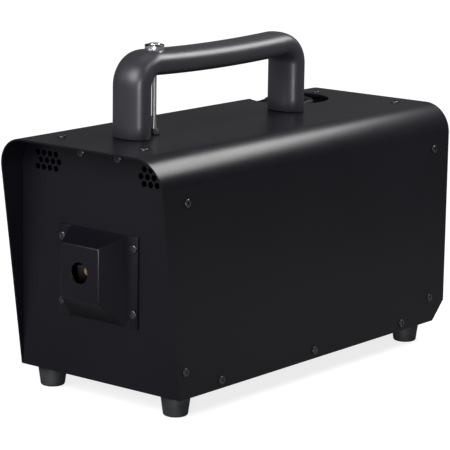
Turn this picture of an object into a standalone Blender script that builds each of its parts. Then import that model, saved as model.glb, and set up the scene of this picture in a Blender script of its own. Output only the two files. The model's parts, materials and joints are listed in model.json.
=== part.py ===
"""Battery fog machine, modelled as an assembly of separate solids.

Metres, +Z up. The nozzle looks along -Y, the controls along +Y. The origin is the middle of the
bounding box at the height of the feet's soles. Every size stands once below and the rest follows.
"""

import math

import bmesh
import bpy
from mathutils import Matrix, Vector

MM = 0.001

# Clearances
SEAT_GAP = 0.3 * MM          # between two pieces that rest on or fit in each other
RUNNING_GAP = 0.5 * MM       # round a piece that moves
OVERCUT = 2.0 * MM           # how far a cutter reaches past what it cuts
FAR_OVERCUT = 5.0 * MM       # the same where the outer face is slanted or crowned
WELD = 1.0 * MM              # how far joined solids run into each other
MERGE = 0.001 * MM           # points closer than this become one

# Enclosure
COVER_WIDTH = 176.7 * MM
COVER_LENGTH = 405.5 * MM
COVER_HEIGHT = 200.0 * MM
COVER_RADIUS = 26.1 * MM     # outer radius of the two long edges
SHEET = 1.5 * MM
FRONT_SLANT = 27.2 * MM      # how far the lower front corner stands back from the upper one
FRONT_CLIP = 1.5 * MM        # small clipped corner at the foot of the slant
REAR_CHAMFER = 17.0 * MM
FLANGE_DEPTH = 15.0 * MM     # returns of the front and rear panels
TRAY_RIM = 16.0 * MM         # turned-up sides of the tray
RELIEF = 1.0 * MM            # height left free between a panel's return and the tray's rim

# Feet
FOOT_HEIGHT = 18.6 * MM
FOOT_SOLE_RADIUS = 10.5 * MM
FOOT_TOP_RADIUS = 12.7 * MM
FOOT_ROUND = 2.0 * MM
FOOT_RECESS_RADIUS = 5.0 * MM
FOOT_RECESS_DEPTH = 5.0 * MM
FOOT_X = 68.8 * MM           # from the middle plane
FOOT_FRONT_INSET = 45.0 * MM  # from the cover's front end
FOOT_REAR_INSET = 32.9 * MM  # from the cover's rear end

# Screws
SCREW_HEAD_RADIUS = 3.5 * MM
SCREW_HEAD_HEIGHT = 1.7 * MM
SCREW_SHANK_RADIUS = 1.9 * MM
SCREW_LENGTH = 7.0 * MM
TOP_SCREW_X = 45.0 * MM
PANEL_SCREW_X = 20.3 * MM
PANEL_SCREW_DROP = 9.5 * MM  # below the cover's top
TOP_SCREW_FRONT_INSET = 3.5 * MM  # behind the front panel's upper edge
TOP_SCREW_REAR_INSET = 9.0 * MM   # before the rear panel's outer face
SIDE_SCREW_INSET = 6.5 * MM       # from either panel's outer face, on the side walls
SIDE_SCREW_UPPER = 162.0 * MM  # above the cover's lower edge
SIDE_SCREW_LOWER = 23.0 * MM

# Vents: hexagon holes in close-packed rows
VENT_FLATS = 5.0 * MM
VENT_PITCH = 6.85 * MM
VENT_COLUMNS = 4
VENT_ROWS = 3
VENT_INNER_X = 48.4 * MM     # innermost hole of an outer row
VENT_TOP_DROP = 14.8 * MM    # top row below the cover's top

# Nozzle and its hood
NOZZLE_HEIGHT = 96.4 * MM    # axis above the cover's lower edge
NOZZLE_REACH = 15.0 * MM     # tip in front of the front panel
NOZZLE_TIP_RADIUS = 3.5 * MM
NOZZLE_BORE_RADIUS = 1.0 * MM
NOZZLE_HEX_RADIUS = 8.0 * MM
HOOD_DEPTH = 24.0 * MM
HOOD_SHEET = 1.2 * MM
HOOD_BASE = (32.5 * MM, 52.0 * MM, 128.5 * MM)   # half width, lower and upper edge above the base
HOOD_FACE = (20.5 * MM, 73.9 * MM, 119.2 * MM)
HOOD_DRILL = 6.0 * MM         # depth of the drill that opens the face
HOOD_HOLE_RADIUS = 9.0 * MM
HOOD_FLANGE_X = 43.5 * MM
HOOD_SCREW_X = 39.2 * MM
HOOD_SCREW_UPPER = 10.0 * MM  # below the hood's upper edge
HOOD_SCREW_LOWER = 12.0 * MM  # above its lower edge
WINDOW_MARGIN = 5.0 * MM     # the panel's window inside the hood's base

# Handle
HANDLE_FRONT_Y = -136.0 * MM
HANDLE_REAR_Y = 71.5 * MM
HANDLE_RISE = 61.2 * MM      # middle of the bar above the cover's top
HANDLE_SAG = 2.0 * MM
HANDLE_BEND = 18.4 * MM
HANDLE_HALF_WIDTH = 17.85 * MM
HANDLE_HALF_THICKNESS = 10.9 * MM
HANDLE_SQUARENESS = 2.4      # exponent of the section's superellipse
HANDLE_BOLT_RADIUS = 3.0 * MM
HANDLE_BOLT_GRIP = 22.0 * MM  # shank length above the cover
HANDLE_BOLT_HEAD_RADIUS = 6.5 * MM
HANDLE_BOLT_HEAD_HEIGHT = 4.0 * MM

# Thumb trigger in the bar
TRIGGER_BEHIND_LEG = 27.9 * MM
TRIGGER_FLANGE_RADIUS = 8.25 * MM
TRIGGER_FLANGE_HEIGHT = 4.2 * MM
TRIGGER_BARREL_RADIUS = 6.0 * MM
TRIGGER_BARREL_DEPTH = 11.0 * MM
CONDUIT_CLEARANCE = 1.0 * MM   # between the conduit's end and the barrel
TRIGGER_SPOT_DEPTH = 0.8 * MM  # spot face cut in the crowned bar
BUTTON_RADIUS = 5.0 * MM
BUTTON_PROUD = 1.0 * MM
BUTTON_DEPTH = 5.0 * MM
BUTTON_TRAVEL = 1.0 * MM
CONDUIT_RADIUS = 2.0 * MM
CONDUIT_INSIDE = 12.0 * MM   # end below the cover's top
GROMMET_RADIUS = 5.0 * MM
GROMMET_HEIGHT = 5.0 * MM
GROMMET_NECK_RADIUS = 4.0 * MM

# Filler
FILLER_X = -43.0 * MM
FILLER_Y = 132.0 * MM
FILLER_HOLE_RADIUS = 37.0 * MM
CAP_RADIUS = 23.0 * MM
CAP_HEIGHT = 17.0 * MM
CAP_WALL = 2.0 * MM
CAP_SINK = 0.5 * MM          # cap's top below the cover's top
NECK_RADIUS = 19.0 * MM
NECK_WALL = 2.5 * MM
PLUG_FLANGE = 2.0 * MM
PLUG_DEPTH = 8.0 * MM

# Tank
TANK_WALL = 2.5 * MM
TANK_X = (-83.0 * MM, -4.0 * MM)
TANK_Y = (84.0 * MM, 178.0 * MM)
TANK_TOP_DROP = 32.0 * MM    # tank's top below the cover's top
TANK_RADIUS = 8.0 * MM
SPOUT_RADIUS = 4.0 * MM
SPOUT_BORE_RADIUS = 1.5 * MM
SPOUT_REACH = 7.0 * MM
SPOUT_Y = 128.0 * MM
SPOUT_HEIGHT = 12.0 * MM     # above the tray

# Heater
BLOCK_HALF = 22.0 * MM
BLOCK_FRONT = 24.0 * MM      # behind the front panel
BLOCK_LENGTH = 110.0 * MM
INSULATION_THICKNESS = 8.0 * MM
JACKET_WALL = 1.2 * MM
CARTRIDGE_RADIUS = 5.0 * MM
CARTRIDGE_LENGTH = 90.0 * MM
CARTRIDGE_STUB = 10.0 * MM
CARTRIDGE_DROP = 10.0 * MM   # below the nozzle's axis
INLET_RISE = 9.0 * MM        # above the nozzle's axis
INLET_RADIUS = 3.0 * MM
INLET_REACH = 8.0 * MM
THREAD_RADIUS = 5.0 * MM
THREAD_LENGTH = 14.0 * MM
THERMOSTAT_RADIUS = 8.0 * MM
THERMOSTAT_HEIGHT = 16.0 * MM
THERMOSTAT_Y = 60.0 * MM     # behind the block's front
STAND_SHEET = 2.0 * MM
STAND_FOOT = 14.0 * MM
STAND_INSET = 12.0 * MM

# Pump
PUMP_X = 45.0 * MM
PUMP_Y = (33.0 * MM, 91.0 * MM)
PUMP_HEIGHT = 42.0 * MM      # axis above the tray
PUMP_RADIUS = 17.0 * MM
PUMP_BORE_RADIUS = 8.0 * MM
PUMP_END_WALL = 6.0 * MM
PUMP_NIPPLE_RADIUS = 3.0 * MM
PUMP_NIPPLE_BORE = 1.4 * MM
PUMP_NIPPLE_REACH = 8.0 * MM
PISTON_LENGTH = 32.0 * MM
SADDLE_WIDTH = 40.0 * MM
SADDLE_LENGTH = 22.0 * MM
TUBE_RADIUS = 3.2 * MM
HOSE_PULL = 34.0 * MM       # how strongly a hose keeps its direction at its ends
HOSE_LEAD = 3.0 * MM        # straight length on each nipple

# Battery
BATTERY_X = (-82.0 * MM, -38.0 * MM)
BATTERY_Y = (-158.0 * MM, -34.0 * MM)
BATTERY_HEIGHT = 88.0 * MM
BATTERY_ROUND = 3.0 * MM
STRAP_WIDTH = 26.0 * MM
STRAP_SHEET = 1.2 * MM
STRAP_FOOT = 12.0 * MM

# Control board on studs pressed into the rear panel
BOARD_X = (4.0 * MM, 80.0 * MM)
BOARD_Z = (36.0 * MM, 182.0 * MM)   # above the cover's lower edge
BOARD_THICKNESS = 1.6 * MM
STUD_LENGTH = 30.0 * MM
STUD_RADIUS = 3.0 * MM
STUD_INSET = 6.0 * MM

# Rear controls: middle X, height above the cover's lower edge
SWITCH_AT = (52.0 * MM, 150.0 * MM)
KNOB_AT = (8.0 * MM, 150.0 * MM)
LAMP_AT = (30.0 * MM, 150.0 * MM)
REMOTE_AT = (52.0 * MM, 98.0 * MM)
FUSE_AT = (8.0 * MM, 98.0 * MM)
CHARGE_AT = (52.0 * MM, 55.0 * MM)

SWITCH_BEZEL = (21.0 * MM, 30.0 * MM, 2.0 * MM)
SWITCH_BODY = (18.0 * MM, 27.0 * MM, 20.0 * MM)
SWITCH_WINDOW = (13.0 * MM, 21.0 * MM, 15.0 * MM)
ROCKER_TILT = 8.0            # degrees to each side of the middle
ROCKER_HALF_LENGTH = 9.0 * MM
ROCKER_END = 5.0 * MM        # outer corners in front of the hinge
ROCKER_MIDDLE = 3.0 * MM
ROCKER_BACK = 4.0 * MM
ROCKER_BACK_HALF = 5.0 * MM

KNOB_RADIUS = 11.0 * MM
KNOB_HEIGHT = 14.0 * MM
POT_RADIUS = 8.5 * MM
POT_DEPTH = 12.0 * MM
POT_BUSH_RADIUS = 3.6 * MM
POT_SHAFT_RADIUS = 3.0 * MM
POT_SHAFT_REACH = 11.0 * MM

REMOTE_PLATE = (26.0 * MM, 31.0 * MM, 2.0 * MM)
REMOTE_BARREL_RADIUS = 11.0 * MM
REMOTE_DEPTH = 20.0 * MM
REMOTE_RECESS_RADIUS = 8.2 * MM
REMOTE_RECESS_DEPTH = 14.0 * MM
REMOTE_PIN_RADIUS = 1.2 * MM
REMOTE_PIN_CIRCLE = 4.5 * MM

CHARGE_COLLAR_RADIUS = 9.0 * MM
CHARGE_BARREL_RADIUS = 7.5 * MM
CHARGE_DEPTH = 16.0 * MM
CHARGE_RECESS_RADIUS = 5.5 * MM
CHARGE_RECESS_DEPTH = 12.0 * MM
CHARGE_PIN_RADIUS = 1.2 * MM
COLLAR_HEIGHT = 2.5 * MM

FUSE_CAP_RADIUS = 7.5 * MM
FUSE_CAP_HEIGHT = 7.0 * MM
FUSE_BODY_RADIUS = 6.0 * MM
FUSE_DEPTH = 24.0 * MM
LAMP_RADIUS = 4.0 * MM
LAMP_BODY_RADIUS = 3.0 * MM

# Facets of round shapes
FINE = 40
ROUND = 20
SMALL = 12
ARC = 6

# Worked out from the sizes above
BASE = FOOT_HEIGHT                          # the cover's lower edge
TOP = BASE + COVER_HEIGHT
HALF_WIDTH = COVER_WIDTH / 2
FRONT_END = -COVER_LENGTH / 2
REAR_END = COVER_LENGTH / 2
FRONT_FACE = FRONT_END + FRONT_SLANT        # outer face of the front panel
REAR_FACE = REAR_END - REAR_CHAMFER         # outer face of the rear panel
INNER_HALF = HALF_WIDTH - SHEET - SEAT_GAP  # outside of what fits in the cover
INNER_TOP = TOP - SHEET - SEAT_GAP
TRAY_TOP = BASE + SHEET
FLOOR = TRAY_TOP + SEAT_GAP                 # where the inner pieces stand
AXIS_Z = BASE + NOZZLE_HEIGHT


# ---------------------------------------------------------------- scene and materials

def clear_scene():
    """Remove every object that the scene starts with."""
    for item in list(bpy.data.objects):
        bpy.data.objects.remove(item, do_unlink=True)


def make_material(name, colour, roughness, metallic=0.0):
    """Principled material of one colour."""
    material = bpy.data.materials.new(name)
    material.use_nodes = True
    shader = material.node_tree.nodes["Principled BSDF"]
    shader.inputs["Base Color"].default_value = (*colour, 1.0)
    shader.inputs["Roughness"].default_value = roughness
    shader.inputs["Metallic"].default_value = metallic
    return material


def make_materials():
    """All finishes of the machine, by name."""
    return {
        "powder_coat": make_material("powder_coat", (0.016, 0.016, 0.018), 0.45),
        "bare_steel": make_material("bare_steel", (0.55, 0.55, 0.56), 0.35, 1.0),
        "aluminium": make_material("aluminium", (0.72, 0.72, 0.73), 0.4, 1.0),
        "brass": make_material("brass", (0.72, 0.50, 0.20), 0.3, 1.0),
        "chrome": make_material("chrome", (0.80, 0.80, 0.82), 0.12, 1.0),
        "handle_grey": make_material("handle_grey", (0.05, 0.052, 0.056), 0.42),
        "rubber": make_material("rubber", (0.022, 0.022, 0.024), 0.75),
        "black_plastic": make_material("black_plastic", (0.014, 0.014, 0.015), 0.4),
        "natural_plastic": make_material("natural_plastic", (0.78, 0.78, 0.74), 0.45),
        "black_screw": make_material("black_screw", (0.03, 0.03, 0.032), 0.4, 0.6),
        "wool": make_material("wool", (0.62, 0.60, 0.54), 0.95),
        "board_green": make_material("board_green", (0.02, 0.16, 0.07), 0.45),
        "lamp_green": make_material("lamp_green", (0.05, 0.55, 0.12), 0.25),
        "battery_grey": make_material("battery_grey", (0.10, 0.10, 0.11), 0.5),
        "hose": make_material("hose", (0.70, 0.70, 0.68), 0.35),
    }


# ---------------------------------------------------------------- shapes

def finish(name, shape, material, origin=(0.0, 0.0, 0.0), sharp=35.0):
    """Turn a bmesh in world places into an object whose origin is at origin."""
    bmesh.ops.recalc_face_normals(shape, faces=shape.faces)
    bmesh.ops.translate(shape, vec=-Vector(origin), verts=shape.verts)
    mesh = bpy.data.meshes.new(name)
    shape.to_mesh(mesh)
    shape.free()
    mesh.shade_smooth()
    mesh.set_sharp_from_angle(angle=math.radians(sharp))
    item = bpy.data.objects.new(name, mesh)
    item.location = origin
    bpy.context.scene.collection.objects.link(item)
    if material is not None:
        mesh.materials.append(material)
    return item


def tool(name, shape, target, operation):
    """Guide object for a Boolean on target, left out of the model itself."""
    guide = finish(name, shape, None)
    guide.hide_render = True
    guide.display_type = "WIRE"
    step = target.modifiers.new(name, "BOOLEAN")
    step.operation = operation
    step.solver = "EXACT"
    step.object = guide
    return guide


def cut(target, shape, name):
    """Take a shape away from a piece."""
    return tool(target.name + "_cut_" + name, shape, target, "DIFFERENCE")


def join(target, shape, name):
    """Weld a shape onto a piece."""
    return tool(target.name + "_add_" + name, shape, target, "UNION")


def add_box(shape, low, high):
    """Box between two corners."""
    size = [high[i] - low[i] for i in range(3)]
    middle = [(high[i] + low[i]) / 2 for i in range(3)]
    place = Matrix.Translation(middle) @ Matrix.Diagonal((*size, 1.0))
    return bmesh.ops.create_cube(shape, size=1.0, matrix=place)["verts"]


def box(low, high):
    """New bmesh that holds one box."""
    shape = bmesh.new()
    add_box(shape, low, high)
    return shape


def facing(centre, direction):
    """Matrix that takes +Z to direction and the origin to centre."""
    turn = Vector((0.0, 0.0, 1.0)).rotation_difference(Vector(direction))
    return Matrix.Translation(centre) @ turn.to_matrix().to_4x4()


def add_rod(shape, start, end, radius, segments=SMALL, twist=0.0):
    """Cylinder between two points."""
    start = Vector(start)
    end = Vector(end)
    place = facing((start + end) / 2, end - start) @ Matrix.Rotation(twist, 4, "Z")
    bmesh.ops.create_cone(shape, cap_ends=True, segments=segments, radius1=radius,
                          radius2=radius, depth=(end - start).length, matrix=place)


def rod(start, end, radius, segments=SMALL):
    """New bmesh that holds one cylinder."""
    shape = bmesh.new()
    add_rod(shape, start, end, radius, segments)
    return shape


def turned(profile, centre, direction, segments=ROUND):
    """Turned solid: (radius, height) points from axis to axis, spun about direction."""
    shape = bmesh.new()
    points = [shape.verts.new((radius, 0.0, height)) for radius, height in profile]
    edges = [shape.edges.new(pair) for pair in zip(points, points[1:])]
    bmesh.ops.spin(shape, geom=points + edges, cent=(0, 0, 0), axis=(0, 0, 1),
                   angle=math.tau, steps=segments, use_merge=True)
    bmesh.ops.remove_doubles(shape, verts=shape.verts, dist=MERGE)
    bmesh.ops.transform(shape, matrix=facing(centre, direction), verts=shape.verts)
    return shape


def prism(outline, axis, low, high):
    """Outline in the two other axes, in X, Y, Z order, extruded along axis."""
    shape = bmesh.new()
    corners = []
    for first, second in outline:
        place = [first, second]
        place.insert(axis, low)
        corners.append(shape.verts.new(place))
    face = shape.faces.new(corners)
    move = [0.0, 0.0, 0.0]
    move[axis] = high - low
    raised = bmesh.ops.extrude_face_region(shape, geom=[face])
    moved = [part for part in raised["geom"] if isinstance(part, bmesh.types.BMVert)]
    bmesh.ops.translate(shape, vec=move, verts=moved)
    return shape


def arc(centre, radius, start, end, steps=ARC):
    """Points of an arc, angles in degrees."""
    angles = [math.radians(start + (end - start) * i / steps) for i in range(steps + 1)]
    return [(centre[0] + radius * math.cos(a), centre[1] + radius * math.sin(a)) for a in angles]


def arch_outline(half, bottom, top, radius):
    """Outline with a flat foot and two rounded upper corners."""
    right = arc((half - radius, top - radius), radius, 0, 90)
    left = arc((radius - half, top - radius), radius, 90, 180)
    return [(half, bottom)] + right + left + [(-half, bottom)]


def rounded_outline(low, high, radius, steps=4):
    """Rectangle with four rounded corners."""
    corners = [((high[0] - radius, high[1] - radius), 0), ((low[0] + radius, high[1] - radius), 90),
               ((low[0] + radius, low[1] + radius), 180), ((high[0] - radius, low[1] + radius), 270)]
    points = []
    for centre, start in corners:
        points += arc(centre, radius, start, start + 90, steps)
    return points


def frustum(base, face, back, front):
    """Truncated pyramid: (half width, lower, upper) at back and at front along Y."""
    shape = box((-1.0, front, 0.0), (1.0, back, 1.0))
    for corner in shape.verts:
        half, lower, upper = base if corner.co.y > (front + back) / 2 else face
        corner.co.x *= half
        corner.co.z = upper if corner.co.z > 0.5 else lower
    return shape


def bent_route(start, leaving, end, arriving, steps=20):
    """Points of one smooth bend that leaves start and arrives at end along given vectors."""
    ends = [Vector(start), Vector(end)]
    leaving, arriving = Vector(leaving), Vector(arriving)
    start = ends[0] + leaving.normalized() * HOSE_LEAD
    end = ends[1] - arriving.normalized() * HOSE_LEAD
    first, last = start + leaving, end - arriving
    route = []
    for i in range(steps + 1):
        t = i / steps
        route.append(start * (1 - t) ** 3 + first * (3 * t * (1 - t) ** 2)
                     + last * (3 * t * t * (1 - t)) + end * t ** 3)
    return [ends[0]] + route + [ends[1]]


def tube(name, route, radius, material):
    """Tube with closed ends along a route."""
    curve = bpy.data.curves.new(name, "CURVE")
    curve.dimensions = "3D"
    curve.bevel_depth = radius
    curve.bevel_resolution = 3
    curve.use_fill_caps = True
    line = curve.splines.new("POLY")
    line.points.add(len(route) - 1)
    for point, place in zip(line.points, route):
        point.co = (*place, 1.0)
    curve.materials.append(material)
    item = bpy.data.objects.new(name, curve)
    bpy.context.scene.collection.objects.link(item)
    return item


# ---------------------------------------------------------------- screws

def screw(name, place, direction, material):
    """Pan-head screw: place is on the seat, direction points out of the head."""
    edge = SCREW_HEAD_HEIGHT * 0.45
    profile = [(0.0, -SCREW_LENGTH), (SCREW_SHANK_RADIUS, -SCREW_LENGTH),
               (SCREW_SHANK_RADIUS, SEAT_GAP), (SCREW_HEAD_RADIUS, SEAT_GAP),
               (SCREW_HEAD_RADIUS, edge), (SCREW_HEAD_RADIUS * 0.8, SCREW_HEAD_HEIGHT * 0.9),
               (0.0, SCREW_HEAD_HEIGHT)]
    return finish(name, turned(profile, place, direction, SMALL), material, place)


def screw_holes(places, direction, depth=SCREW_LENGTH + OVERCUT, above=OVERCUT):
    """Clearance holes for screws that all look the same way."""
    shape = bmesh.new()
    out = Vector(direction)
    for place in places:
        start = Vector(place) + out * above
        end = Vector(place) - out * depth
        add_rod(shape, start, end, SCREW_SHANK_RADIUS + SEAT_GAP, SMALL)
    return shape


def top_screw_places():
    """Four screws through the cover's top into the panels' returns."""
    rows = (FRONT_FACE + TOP_SCREW_FRONT_INSET, REAR_FACE - TOP_SCREW_REAR_INSET)
    return [(x, y, TOP) for y in rows for x in (-TOP_SCREW_X, TOP_SCREW_X)]


def side_screw_places(side):
    """Four corner screws on one side wall."""
    rows = (FRONT_FACE + SIDE_SCREW_INSET, REAR_FACE - SIDE_SCREW_INSET)
    heights = (BASE + SIDE_SCREW_LOWER, BASE + SIDE_SCREW_UPPER)
    return [(side * HALF_WIDTH, y, z) for y in rows for z in heights]


def panel_screw_places():
    """Two screws high on the front panel."""
    return [(x, FRONT_FACE, TOP - PANEL_SCREW_DROP) for x in (-PANEL_SCREW_X, PANEL_SCREW_X)]


def hood_screw_places():
    """Four screws in the hood's flanges."""
    seat = FRONT_FACE - SEAT_GAP - HOOD_SHEET
    heights = (BASE + HOOD_BASE[1] + HOOD_SCREW_LOWER, BASE + HOOD_BASE[2] - HOOD_SCREW_UPPER)
    return [(x, seat, z) for z in heights for x in (-HOOD_SCREW_X, HOOD_SCREW_X)]


def build_screws(material):
    """Every screw that has a node of its own."""
    groups = {"top_screw": (top_screw_places(), (0, 0, 1)),
              "panel_screw": (panel_screw_places(), (0, -1, 0)),
              "nozzle_cover_screw": (hood_screw_places(), (0, -1, 0)),
              "right_screw": (side_screw_places(1), (1, 0, 0)),
              "left_screw": (side_screw_places(-1), (-1, 0, 0))}
    for name, (places, direction) in groups.items():
        for count, place in enumerate(places, 1):
            screw(f"{name}_{count}", place, direction, material)


# ---------------------------------------------------------------- enclosure

def handle_ends():
    """Middle of each handle leg on the cover's top."""
    return [(0.0, HANDLE_FRONT_Y, TOP), (0.0, HANDLE_REAR_Y, TOP)]


def trigger_y():
    """Place of the trigger along the bar."""
    return HANDLE_FRONT_Y + TRIGGER_BEHIND_LEG


def build_cover(material):
    """Folded cover with its slanted front, chamfered rear corner and openings."""
    outer = arch_outline(HALF_WIDTH, BASE, TOP, COVER_RADIUS)
    inner = arch_outline(HALF_WIDTH - SHEET, BASE, TOP - SHEET, COVER_RADIUS - SHEET)
    cover = finish("cover", prism(outer + inner[::-1], 1, FRONT_END, REAR_END), material)
    spare = FAR_OVERCUT
    slope = FRONT_SLANT / COVER_HEIGHT
    slant = [(FRONT_END - spare, BASE - spare), (FRONT_FACE + FRONT_CLIP, BASE - spare),
             (FRONT_FACE + FRONT_CLIP, BASE), (FRONT_FACE - slope * FRONT_CLIP, BASE + FRONT_CLIP),
             (FRONT_END, TOP), (FRONT_END - slope * spare, TOP + spare),
             (FRONT_END - spare, TOP + spare)]
    cut(cover, prism(slant, 0, -COVER_WIDTH, COVER_WIDTH), "slant")
    corner = [(REAR_FACE - spare, BASE - spare), (REAR_END + spare, BASE - spare),
              (REAR_END + spare, BASE + REAR_CHAMFER + spare)]
    cut(cover, prism(corner, 0, -COVER_WIDTH, COVER_WIDTH), "chamfer")
    low = (FILLER_X, FILLER_Y, TOP - 1.5 * COVER_RADIUS)
    cut(cover, rod(low, (FILLER_X, FILLER_Y, TOP + spare), FILLER_HOLE_RADIUS, FINE), "filler")
    holes = screw_holes(top_screw_places(), (0, 0, 1))
    for end in handle_ends():
        add_rod(holes, Vector(end) - Vector((0, 0, spare)), Vector(end) + Vector((0, 0, spare)),
                HANDLE_BOLT_RADIUS + SEAT_GAP)
    add_rod(holes, (0, trigger_y(), TOP - spare), (0, trigger_y(), TOP + spare),
            GROMMET_NECK_RADIUS + SEAT_GAP)
    cut(cover, holes, "top_holes")
    for side in (-1, 1):
        cut(cover, screw_holes(side_screw_places(side), (side, 0, 0)), f"side_holes_{side + 1}")


def build_tray(material):
    """Bottom tray with turned-up sides."""
    front = FRONT_FACE + SHEET + SEAT_GAP
    rear = REAR_FACE - SHEET - SEAT_GAP
    low = BASE
    outline = [(-INNER_HALF, low), (INNER_HALF, low), (INNER_HALF, low + TRAY_RIM),
               (INNER_HALF - SHEET, low + TRAY_RIM), (INNER_HALF - SHEET, TRAY_TOP),
               (SHEET - INNER_HALF, TRAY_TOP), (SHEET - INNER_HALF, low + TRAY_RIM),
               (-INNER_HALF, low + TRAY_RIM)]
    finish("chassis_tray", prism(outline, 1, front, rear), material)


def build_pan(name, face, inward, material):
    """Panel with returns along the cover's inside: a plate at face and a rim going inward."""
    radius = COVER_RADIUS - SHEET - SEAT_GAP
    ends = sorted((face, face + inward * FLANGE_DEPTH))
    pan = finish(name, prism(arch_outline(INNER_HALF, BASE, INNER_TOP, radius), 1, *ends), material)
    hollow = sorted((face + inward * SHEET, face + inward * (FLANGE_DEPTH + FAR_OVERCUT)))
    inside = arch_outline(INNER_HALF - SHEET, BASE - SHEET, INNER_TOP - SHEET, radius - SHEET)
    cut(pan, prism(inside, 1, *hollow), "hollow")
    rim_low = (-COVER_WIDTH, hollow[0], BASE - SHEET)
    rim_high = (COVER_WIDTH, hollow[1], BASE + TRAY_RIM + RELIEF)
    cut(pan, box(rim_low, rim_high), "foot")
    cut(pan, screw_holes([p for p in top_screw_places() if abs(p[1] - face) < FLANGE_DEPTH],
                         (0, 0, 1)), "top_holes")
    for side in (-1, 1):
        near = [p for p in side_screw_places(side) if abs(p[1] - face) < FLANGE_DEPTH]
        cut(pan, screw_holes(near, (side, 0, 0)), f"side_holes_{side + 1}")
    return pan


def vent_places():
    """Middles of the hexagon holes in the front panel's upper corners."""
    row_pitch = VENT_PITCH * math.sqrt(3) / 2
    places = []
    for side in (-1, 1):
        for row in range(VENT_ROWS):
            shift = -VENT_PITCH / 2 if row % 2 else 0.0
            for column in range(VENT_COLUMNS):
                x = side * (VENT_INNER_X + shift + column * VENT_PITCH)
                places.append((x, TOP - VENT_TOP_DROP - row * row_pitch))
    return places


def build_front_panel(material):
    """Front panel with vents, the nozzle's window and screw holes."""
    panel = build_pan("front_panel", FRONT_FACE, 1, material)
    vents = bmesh.new()
    before = FRONT_FACE - OVERCUT
    behind = FRONT_FACE + SHEET + OVERCUT
    for x, z in vent_places():
        add_rod(vents, (x, before, z), (x, behind, z), VENT_FLATS / math.sqrt(3), 6, math.pi / 6)
    cut(panel, vents, "vents")
    half = HOOD_BASE[0] - WINDOW_MARGIN
    low = (-half, before, BASE + HOOD_BASE[1] + WINDOW_MARGIN)
    cut(panel, box(low, (half, behind, BASE + HOOD_BASE[2] - WINDOW_MARGIN)), "window")
    cut(panel, screw_holes(panel_screw_places() + hood_screw_places(), (0, -1, 0)), "holes")


def build_rear_panel(material):
    """Rear panel with studs for the board and cut-outs for the controls."""
    panel = build_pan("rear_panel", REAR_FACE, -1, material)
    studs = bmesh.new()
    inner = REAR_FACE - SHEET
    for x, z in stud_places():
        add_rod(studs, (x, inner - STUD_LENGTH, z), (x, inner + SHEET / 2, z), STUD_RADIUS)
    join(panel, studs, "studs")
    behind = inner - OVERCUT
    before = REAR_FACE + OVERCUT
    holes = bmesh.new()
    half_x = SWITCH_BODY[0] / 2 + SEAT_GAP
    half_z = SWITCH_BODY[1] / 2 + SEAT_GAP
    x, z = SWITCH_AT[0], BASE + SWITCH_AT[1]
    add_box(holes, (x - half_x, behind, z - half_z), (x + half_x, before, z + half_z))
    rounds = ((KNOB_AT, POT_BUSH_RADIUS), (LAMP_AT, LAMP_BODY_RADIUS), (FUSE_AT, FUSE_BODY_RADIUS),
              (REMOTE_AT, REMOTE_BARREL_RADIUS), (CHARGE_AT, CHARGE_BARREL_RADIUS))
    for (x, height), radius in rounds:
        z = BASE + height
        add_rod(holes, (x, behind, z), (x, before, z), radius + SEAT_GAP, ROUND)
    cut(panel, holes, "controls")


def build_hood(material):
    """Nozzle cover: hollow truncated pyramid with a flange on each side."""
    back = FRONT_FACE - SEAT_GAP
    front = FRONT_FACE - HOOD_DEPTH
    base = (HOOD_BASE[0], BASE + HOOD_BASE[1], BASE + HOOD_BASE[2])
    face = (HOOD_FACE[0], BASE + HOOD_FACE[1], BASE + HOOD_FACE[2])
    hood = finish("nozzle_cover", frustum(base, face, back, front), material)
    for side in (-1, 1):
        ends = sorted((side * (HOOD_BASE[0] - 3 * HOOD_SHEET), side * HOOD_FLANGE_X))
        plate = box((ends[0], back - HOOD_SHEET, base[1]), (ends[1], back, base[2]))
        join(hood, plate, f"flange_{side + 1}")
    wall = HOOD_SHEET * 1.2
    inner_base = (base[0] - wall, base[1] + wall, base[2] - wall)
    inner_face = (face[0] - wall, face[1] + wall, face[2] - wall)
    hollow = frustum(inner_base, inner_face, back, front + HOOD_SHEET)
    for corner in hollow.verts:
        if corner.co.y > back - HOOD_SHEET:
            corner.co.y += WELD
    cut(hood, hollow, "hollow")
    hole = rod((0, front - OVERCUT, AXIS_Z), (0, front + HOOD_DRILL, AXIS_Z), HOOD_HOLE_RADIUS, ROUND)
    cut(hood, hole, "hole")
    cut(hood, screw_holes(hood_screw_places(), (0, -1, 0)), "screw_holes")


def build_feet(material):
    """Four tapered rubber feet with a recess in the sole."""
    top = FOOT_HEIGHT - SEAT_GAP
    rounding = [(FOOT_SOLE_RADIUS - FOOT_ROUND * (1 - math.sin(a)), FOOT_ROUND * (1 - math.cos(a)))
                for a in (0.0, math.pi / 6, math.pi / 3, math.pi / 2)]
    profile = [(0.0, FOOT_RECESS_DEPTH), (FOOT_RECESS_RADIUS, FOOT_RECESS_DEPTH),
               (FOOT_RECESS_RADIUS, 0.0)] + rounding + [(FOOT_TOP_RADIUS, top), (0.0, top)]
    rows = (FRONT_END + FOOT_FRONT_INSET, REAR_END - FOOT_REAR_INSET)
    for count, (x, y) in enumerate([(x, y) for y in rows for x in (-FOOT_X, FOOT_X)], 1):
        finish(f"foot_{count}", turned(profile, (x, y, 0.0), (0, 0, 1)), material, (x, y, 0.0))


# ---------------------------------------------------------------- handle and trigger

def bar_height(y):
    """Height of the bar's middle line at y, with its slight sag."""
    start = HANDLE_FRONT_Y + HANDLE_BEND
    end = HANDLE_REAR_Y - HANDLE_BEND
    share = (y - start) / (end - start)
    return TOP + HANDLE_RISE - HANDLE_SAG * 4 * share * (1 - share)


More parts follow.
